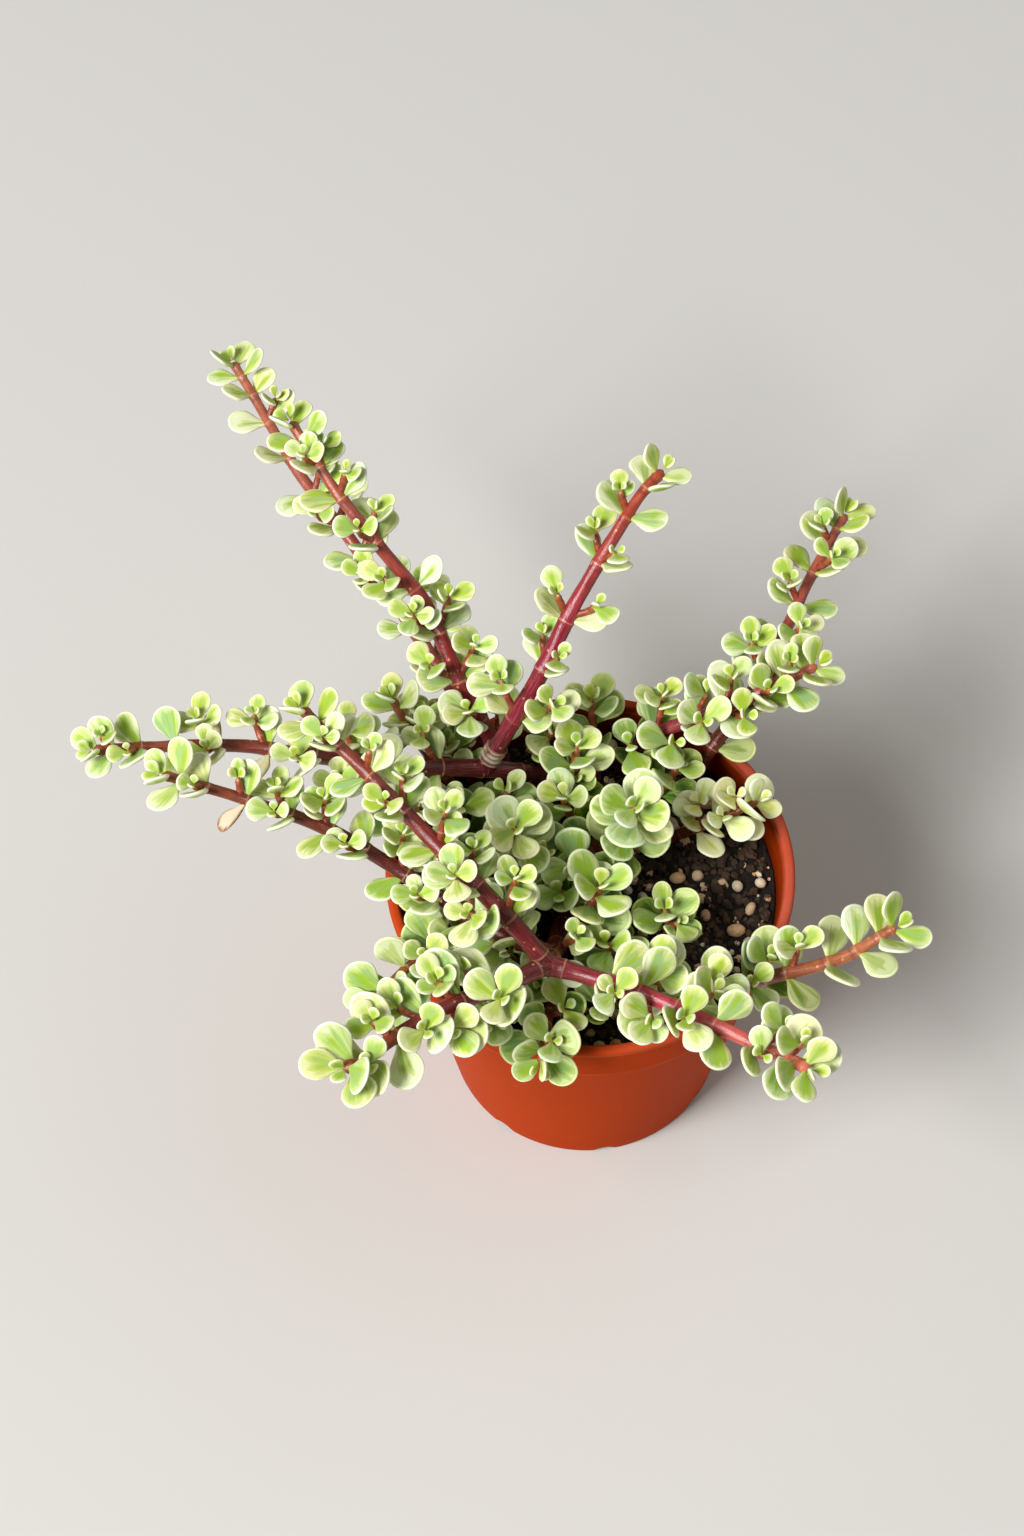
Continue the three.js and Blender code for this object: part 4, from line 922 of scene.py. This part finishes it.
# The potting mix: its mesh, its gap to the pot, and its crumbs, of which pebbles are the big pale ones.
SOIL_RINGS, SOIL_SIDES, SOIL_GAP = 60, 160, 0.35
CRUMBS, PEBBLE, ROUND_FLAT = 3400, 1.6, 0.85
CRUMB_KINDS = (
    # share, smallest, largest, palest range, how flat
    (0.44, 0.6, 1.1, (0.12, 0.25), ROUND_FLAT),
    (0.25, 1.0, 1.6, (0.14, 0.4), ROUND_FLAT),
    (0.16, 1.1, 2.1, (0.1, 0.2), 0.5),
    (0.07, 0.5, 0.9, (0.6, 0.95), ROUND_FLAT),
    (0.045, 1.1, 1.6, (0.75, 1.0), ROUND_FLAT),
    (0.035, 1.61, 2.15, (0.75, 1.0), ROUND_FLAT),
)


def soil_radius(level):
    shoulder = POT.body_top - POT.edge
    share = (level - shoulder) / (POT.height - 2 * POT.edge - shoulder)
    return mix(POT.body_top_radius, POT.collar_top_radius, share) - POT.wall - SOIL_GAP


def crumb_shape(rng, rounded):
    """A rough chunk of three uneven rings with flat ends, or a pebble of seven even ones."""
    levels = np.sin(np.radians([-72, -50, -26, 0, 26, 50, 72])) if rounded else (-0.8, 0, 0.8)
    sides, uneven = (12, 0.04) if rounded else (6, 0.2)
    points = []
    for v in levels:
        for k in range(sides):
            turn = 2 * math.pi * (k + rng.uniform(-1, 1) * uneven) / sides
            wide = math.sqrt(1 - v * v) if rounded else 1 - 0.45 * abs(v)
            reach = wide * (1 + uneven * rng.uniform(-1, 1))
            level = v * (1 + uneven * rng.uniform(-1, 1))
            points.append((reach * math.cos(turn), reach * math.sin(turn), level))
    return np.array(points), flat_ended(len(levels), sides)


def soil_level(x, y):
    """The height of the mix's rough top."""
    broad = 0.9 * noise.noise(Vector((x * 0.06, y * 0.06, 3)))
    lump = 0.9 * abs(noise.noise(Vector((x * 0.35, y * 0.35, 8))))
    return SOIL_TOP - 0.5 + broad + lump


def soil_body():
    """The mix itself: a rough top, and sides and a bottom that follow the pot."""
    top, floor = soil_radius(SOIL_TOP), POT.floor + SOIL_GAP
    points, tints = [(0.0, 0.0, SOIL_TOP)], [(0.1, 0.2, 0)]
    for i in range(1, SOIL_RINGS + 1):
        for x, y in circle(top * i / SOIL_RINGS, SOIL_SIDES):
            fine = 0.35 * noise.noise(Vector((x * 1.1, y * 1.1, 5)))
            points.append((x, y, soil_level(x, y) + fine))
            tints.append((0.03 + 0.15 * fine, 0.2, 0))
    for radius, level in ((soil_radius(84), 84.0), (POT.base_radius - POT.wall - SOIL_GAP, floor)):
        points += [(x, y, level) for x, y in circle(radius, SOIL_SIDES)]
    points.append((0.0, 0.0, floor))
    tints += [(0.1, 0.2, 0)] * (len(points) - len(tints))
    faces = pointed(SOIL_RINGS + 2, SOIL_SIDES, 0, len(points) - 1, 1)
    return points, [(face[0], *face[:0:-1]) for face in faces], tints


def soil_object(material):
    rng = random.Random(12)
    parts = [soil_body()]
    top = soil_radius(SOIL_TOP)
    stands = [(stem.foot[1][:2], stem.radii[0]) for stem in mains if stem.foot]
    for _ in range(CRUMBS):
        at, pick = 0.0, rng.random()
        for share, least, most, tint, flat in CRUMB_KINDS:
            at += share
            if pick <= at:
                break
        size = rng.uniform(least, most)
        radius = (top - size - 0.4) * math.sqrt(rng.random())
        turn = rng.uniform(0, 2 * math.pi)
        pebble = flat == ROUND_FLAT and size > PEBBLE
        shape, sides = crumb_shape(rng, pebble)
        place = np.array([radius * math.cos(turn), radius * math.sin(turn)])
        if any(np.linalg.norm(place - foot) < size + thick for foot, thick in stands):
            continue
        if pebble:
            stands.append((place, size))
        shape = shape * (np.array([rng.uniform(0.8, 1.4), rng.uniform(0.75, 1.0), flat]) * size)
        a, b = rng.uniform(0, 2 * math.pi), rng.uniform(-0.6, 0.6)
        tilt = np.array([[1, 0, 0], [0, math.cos(b), -math.sin(b)], [0, math.sin(b), math.cos(b)]])
        spin = np.array([[math.cos(a), -math.sin(a), 0], [math.sin(a), math.cos(a), 0], [0, 0, 1]])
        sunk = rng.uniform(0.2, 0.6) if pebble else rng.uniform(-0.1, 0.75)
        level = soil_level(*place) + size * flat * sunk
        shape = shape @ tilt.T @ spin.T + np.array([*place, level])
        shade, warm = rng.uniform(*tint), rng.random()
        parts.append((shape, sides, [(shade, warm, 1)] * len(shape)))
    dressed(joined("potting_mix", parts, "grain", smooth=False), material, "soil", "soil")


# ---------------- materials


class Shader:
    """A small helper for node materials."""

    def __init__(self, name):
        self.material = bpy.data.materials.new(name)
        self.material.use_nodes = True
        self.tree = self.material.node_tree
        self.bsdf = self.tree.nodes["Principled BSDF"]

    def node(self, kind, inputs=None, **settings):
        made = self.tree.nodes.new(kind)
        for key, value in settings.items():
            setattr(made, key, value)
        for key, value in (inputs or {}).items():
            self.put(made.inputs[key], value)
        return made

    def put(self, socket, value):
        if isinstance(value, bpy.types.NodeSocket):
            self.tree.links.new(value, socket)
        else:
            socket.default_value = value

    def set(self, **inputs):
        """Sets the colour so far and the surface's other values."""
        self.put(self.bsdf.inputs["Base Color"], self.colour)
        for key, value in inputs.items():
            self.put(self.bsdf.inputs[key.replace("_", " ").title().replace("Ior", "IOR")], value)

    def math(self, operation, a, b):
        return self.node("ShaderNodeMath", {0: a, 1: b}, operation=operation).outputs[0]

    add = partialmethod(math, "ADD")
    less = partialmethod(math, "SUBTRACT")
    times = partialmethod(math, "MULTIPLY")

    def ramp(self, value, low, high, start=0, end=1):
        """Turns smoothly from start to end while the value runs from low to high."""
        inputs = {0: value, 1: low, 2: high, 3: start, 4: end}
        return self.node("ShaderNodeMapRange", inputs, interpolation_type="SMOOTHSTEP").outputs[0]

    def band(self, value, low, full, fades, gone):
        return self.times(self.ramp(value, low, full), self.ramp(value, fades, gone, 1, 0))

    def blend(self, share, a, b, mode="MIX"):
        inputs = {0: share, 6: a, 7: b}
        return self.node("ShaderNodeMix", inputs, data_type="RGBA", blend_type=mode).outputs[2]

    def paint(self, share, colour):
        """Lays a colour over the colour so far."""
        self.colour = self.blend(share, self.colour, colour)

    def noise(self, vector, scale, detail=3, rough=0.55):
        inputs = {"Vector": vector, "Scale": scale, "Detail": detail, "Roughness": rough}
        return self.node("ShaderNodeTexNoise", inputs).outputs[0]

    def place(self):
        return self.node("ShaderNodeTexCoord").outputs["Object"]

    def parts(self, vector):
        return self.node("ShaderNodeSeparateXYZ", {0: vector}).outputs

    def attribute(self, name):
        return self.parts(self.node("ShaderNodeAttribute", attribute_name=name).outputs["Vector"])

    def vector(self, x, y, z):
        return self.node("ShaderNodeCombineXYZ", {0: x, 1: y, 2: z}).outputs[0]

    def bump(self, height, strength, distance):
        inputs = {"Height": height, "Strength": strength, "Distance": distance}
        self.put(self.bsdf.inputs["Normal"], self.node("ShaderNodeBump", inputs).outputs[0])


def rgb(r, g, b):
    """A display colour from 0 to 255 as the shader's own linear colour."""
    def linear(v):
        v /= 255
        return v / 12.92 if v <= 0.04045 else ((v + 0.055) / 1.055) ** 2.4
    return (linear(r), linear(g), linear(b), 1.0)


def leaf_material():
    """Green fans out from a leaf's foot through pale streaks to a crisp cream rim."""
    s = Shader("leaf")
    edge, along, across = s.attribute("leaf_place")
    own, shade, cream = s.attribute("leaf_kind")
    under, young, dry = s.attribute("leaf_state")

    # How far the pale centre reaches: it differs from streak to streak, by sector and by leaf.
    far = s.times(own, 91)
    fan = s.math("DIVIDE", across, s.add(along, 0.3))
    streaks = s.noise(s.vector(s.times(fan, 7), s.times(along, 0.9), far), 2, 5, 0.65)
    sectors = s.noise(s.vector(s.times(fan, 1.5), s.times(along, 0.5), far), 1.6, 1, 0.5)
    others = s.noise(s.vector(far, s.times(fan, 1.2), s.times(along, 0.5)), 1.7, 1, 0.5)
    streaked = s.less(streaks, 0.5)
    reach = s.add(edge, s.times(streaked, 0.75))
    reach = s.add(reach, s.times(s.less(sectors, 0.5), 1.8))
    reach = s.add(reach, s.times(s.less(cream, 0.5), 0.9))
    reach = s.less(reach, s.times(under, 0.25))
    tone = s.add(others, s.times(streaked, 0.18))
    line = s.add(edge, s.times(streaked, 0.12))
    inner = s.times(s.ramp(line, 0.66, 0.8), s.ramp(line, 0.82, 0.88, 0.3, 0))

    # Each tone in the light and in the shade.
    vivid = s.blend(shade, rgb(168, 194, 72), rgb(38, 84, 0))
    grey = s.blend(shade, rgb(170, 196, 132), rgb(52, 106, 6))
    light = s.blend(shade, rgb(214, 220, 150), rgb(90, 138, 0))
    pale = s.blend(shade, rgb(240, 238, 210), rgb(152, 184, 28))
    rim = s.blend(shade, rgb(252, 248, 228), rgb(204, 220, 92))
    fresh = s.blend(s.ramp(edge, 0.2, 0.9), rgb(168, 190, 54), rgb(226, 228, 150))
    creamy = s.blend(s.ramp(reach, 0.5, 1.4), rgb(212, 220, 96), rgb(246, 240, 196))
    warm = s.blend(own, rgb(250, 250, 214), rgb(230, 253, 242))
    withered = s.blend(s.ramp(s.add(edge, streaked), 0.65, 1), rgb(228, 214, 186), rgb(156, 108, 70))

    s.colour = s.blend(s.ramp(tone, 0.46, 0.54), vivid, grey)
    s.paint(s.ramp(reach, 0.1, 0.5), light)
    s.paint(s.ramp(reach, 0.56, 0.76), pale)
    s.paint(s.times(young, 0.7), fresh)
    s.paint(inner, light)
    s.paint(s.ramp(cream, 1.05, 1.25, 0, 0.92), creamy)
    s.paint(s.ramp(line, 0.83, 0.89), rim)
    s.paint(0.6, s.blend(1, s.colour, warm, "MULTIPLY"))
    s.paint(s.times(s.ramp(along, 0, 0.12, 1, 0), 0.35), rgb(208, 150, 96))
    s.paint(dry, withered)
    s.set(roughness=0.34, specular_ior_level=0.07, subsurface_weight=0.08,
          subsurface_radius=(0.9, 1, 0.4), subsurface_scale=0.0005)
    s.bump(s.noise(s.place(), 900), 0.1, 0.0003)
    return s.material


def stem_material():
    """Smooth bark with fine lines along it, pale rings at the nodes and small pale dots."""
    s = Shader("stem")
    s.colour = s.node("ShaderNodeAttribute", attribute_name="stem_bark").outputs["Color"]
    x, y, run = s.attribute("stem_place")
    ring, crust, own = s.attribute("stem_state")
    place = s.place()
    patches = s.noise(place, 220, 4, 0.6)
    lines = s.noise(s.vector(x, y, s.add(run, own)), 9, 4, 0.6)
    jagged = s.add(ring, s.times(s.less(patches, 0.5), 0.8))
    cells = s.node("ShaderNodeTexVoronoi", {"Vector": place, "Scale": 420})
    chosen = s.ramp(s.parts(cells.outputs["Color"])[0], 0.62, 0.66)
    dots = s.times(s.ramp(cells.outputs["Distance"], 0.2, 0.14), chosen)
    s.paint(s.ramp(patches, 0.35, 0.7, 0, 0.35), rgb(70, 14, 22))
    s.paint(s.ramp(lines, 0.5, 0.72, 0, 0.4), rgb(206, 116, 104))
    s.paint(s.ramp(lines, 0.46, 0.3, 0, 0.35), rgb(62, 12, 20))
    s.paint(s.ramp(ring, -0.2, -0.8, 0, 0.3), rgb(84, 34, 18))
    s.paint(s.ramp(jagged, 0.45, 0.75, 0, 0.42), rgb(206, 158, 122))
    s.paint(s.times(dots, 0.6), rgb(226, 166, 120))
    scales = s.blend(s.ramp(patches, 0.35, 0.6), rgb(128, 92, 72), rgb(214, 196, 174))
    s.paint(s.ramp(crust, 0.15, 0.7), scales)
    s.set(roughness=0.26, specular_ior_level=0.5)
    s.bump(s.add(lines, s.noise(place, 1400)), 0.25, 0.0004)
    return s.material


def pot_material():
    """Matt plastic, with a painted highlight along the lip's and the collar's edges and painted shade under
    both, dust and a painted sheen on the lip, and the inner wall darker towards the soil.
    """
    s = Shader("pot")
    lip, inner, soil = POT.height * MM, POT.lip_inner_radius * MM, SOIL_TOP * MM
    place = s.place()
    cloud, mottle = s.noise(place, 18, 4), s.noise(place, 90, 4, 0.6)
    right, _, height = s.parts(place)
    s.colour = s.blend(cloud, rgb(176, 56, 4), rgb(190, 66, 8))
    # Painted shade in a band under the collar's edge and under the lip, and a painted highlight along each
    # edge, broken up by noise.
    for edge in (POT.collar_bottom, POT.height - POT.lip_height):
        level = edge * MM
        under = s.band(height, level - 0.004, level - 0.0002, level, level + 0.0003)
        above = s.band(height, level, level + 0.0003, level + 0.0006, level + 0.0014)
        s.paint(s.times(under, 0.45), rgb(120, 26, 0))
        s.paint(s.times(above, s.ramp(mottle, 0.3, 0.7, 0.2, 0.7)), rgb(206, 98, 48))
    # Dust and a painted sheen on the lip's top, painted stronger on the lit right side.
    dust_and_sheen = s.times(s.ramp(height, lip - 0.004, lip - 0.0005), s.ramp(mottle, 0.2, 0.7, 0.4, 0.75))
    s.paint(s.times(dust_and_sheen, s.ramp(right, 0, 0.045, 0.2, 1)), rgb(190, 92, 76))
    # The inner wall above the soil is painted darker towards the soil and lighter towards the lip.
    flat = s.node("ShaderNodeVectorMath", {0: place, 1: (1, 1, 0)}, operation="MULTIPLY").outputs[0]
    reach = s.node("ShaderNodeVectorMath", {0: flat}, operation="LENGTH").outputs["Value"]
    within = s.ramp(reach, inner - 0.0002, inner + 0.0001, 1, 0)
    within = s.times(within, s.ramp(height, soil - 0.0025, soil - 0.0015))
    darker_towards_soil = s.ramp(s.add(height, s.times(mottle, 0.004)), soil + 0.001, lip + 0.002, 0.85, 0.2)
    s.paint(s.times(within, darker_towards_soil), rgb(84, 26, 8))
    s.set(roughness=s.ramp(cloud, 0.2, 0.8, 0.4, 0.5), specular_ior_level=0.01)
    s.bump(s.noise(place, 500), 0.12, 0.0003)
    return s.material


def soil_material():
    """Dark damp mix; each crumb and pebble has a tint of its own."""
    s = Shader("soil")
    shade, warm, _ = s.attribute("grain")
    fine = s.noise(s.place(), 1500, 4, 0.65)
    dark = s.blend(warm, rgb(46, 37, 30), rgb(84, 64, 48))
    pale = s.blend(warm, rgb(226, 216, 190), rgb(226, 170, 108))
    s.colour = s.blend(s.ramp(shade, 0, 0.12), rgb(20, 15, 12), dark)
    s.paint(s.ramp(shade, 0.3, 0.9), pale)
    s.paint(s.ramp(fine, 0.4, 0.85, 0, 0.35), rgb(24, 18, 14))
    s.set(roughness=0.85, specular_ior_level=0.3)
    s.bump(fine, 0.6, 0.0006)
    return s.material


# ---------------- the object

leaf_green = leaf_material()
stem_red = stem_material()
pot_object(pot_material())
soil_object(soil_material())
for plant, name in enumerate(PLANTS):
    blades = [leaf_mesh(leaf, name) for leaf in leaves if leaf.stem.plant == plant]
    piece = joined(name + "_leaves", blades, "leaf_place", "leaf_kind", "leaf_state")
    dressed(piece, leaf_green, "cream_leaf" if name == "shoot_cream" else "leaf", name)
    tubes = [stem_mesh(stem) for stem in mains + shoots if stem.plant == plant]
    piece = joined(name + "_stems", tubes, "stem_place", "stem_bark", "stem_state")
    dressed(piece, stem_red, "stem", name)

# ---------------- floor, light and camera

LIT_PLACE = Vector((0, 0, 0.1))
SKY_COLOUR, SKY_STRENGTH = (1, 0.975, 0.89, 1), 0.19
CAMERA = Facts(place=(-0.02293, -0.51755, 1.0310), tilt=math.radians(30.8), lens=85, sensor=36)


def floor_material():
    s = Shader("floor")
    s.colour = rgb(204, 202, 198)
    s.set(roughness=0.9, specular_ior_level=0.2)
    return s.material


bpy.ops.mesh.primitive_plane_add(size=60, location=(0, 0, 0))
ground = bpy.context.object
ground.name = "ground"
ground.data.materials.append(floor_material())


def area_light(name, power, size, place):
    data = bpy.data.lights.new(name, "AREA")
    data.energy, data.size = power, size
    light = bpy.data.objects.new(name, data)
    light.location = place
    light.rotation_euler = (LIT_PLACE - Vector(place)).to_track_quat("-Z", "Y").to_euler()
    bpy.context.scene.collection.objects.link(light)


area_light("key", power=150, size=1.4, place=(-1.8, -1.45, 2.55))
area_light("fill", power=24, size=3.4, place=(2, 0.7, 3))

world = bpy.data.worlds.new("studio")
world.use_nodes = True
sky = world.node_tree.nodes["Background"].inputs
sky["Color"].default_value, sky["Strength"].default_value = SKY_COLOUR, SKY_STRENGTH
bpy.context.scene.world = world

# The photograph's own camera, fitted to the pot's lip and base.
lens = bpy.data.cameras.new("camera")
lens.lens, lens.sensor_width = CAMERA.lens, CAMERA.sensor
camera = bpy.data.objects.new("camera", lens)
camera.location = CAMERA.place
camera.rotation_euler = (CAMERA.tilt, 0, 0)
bpy.context.scene.collection.objects.link(camera)
bpy.context.scene.camera = camera
bpy.context.scene.view_settings.view_transform = "Standard"
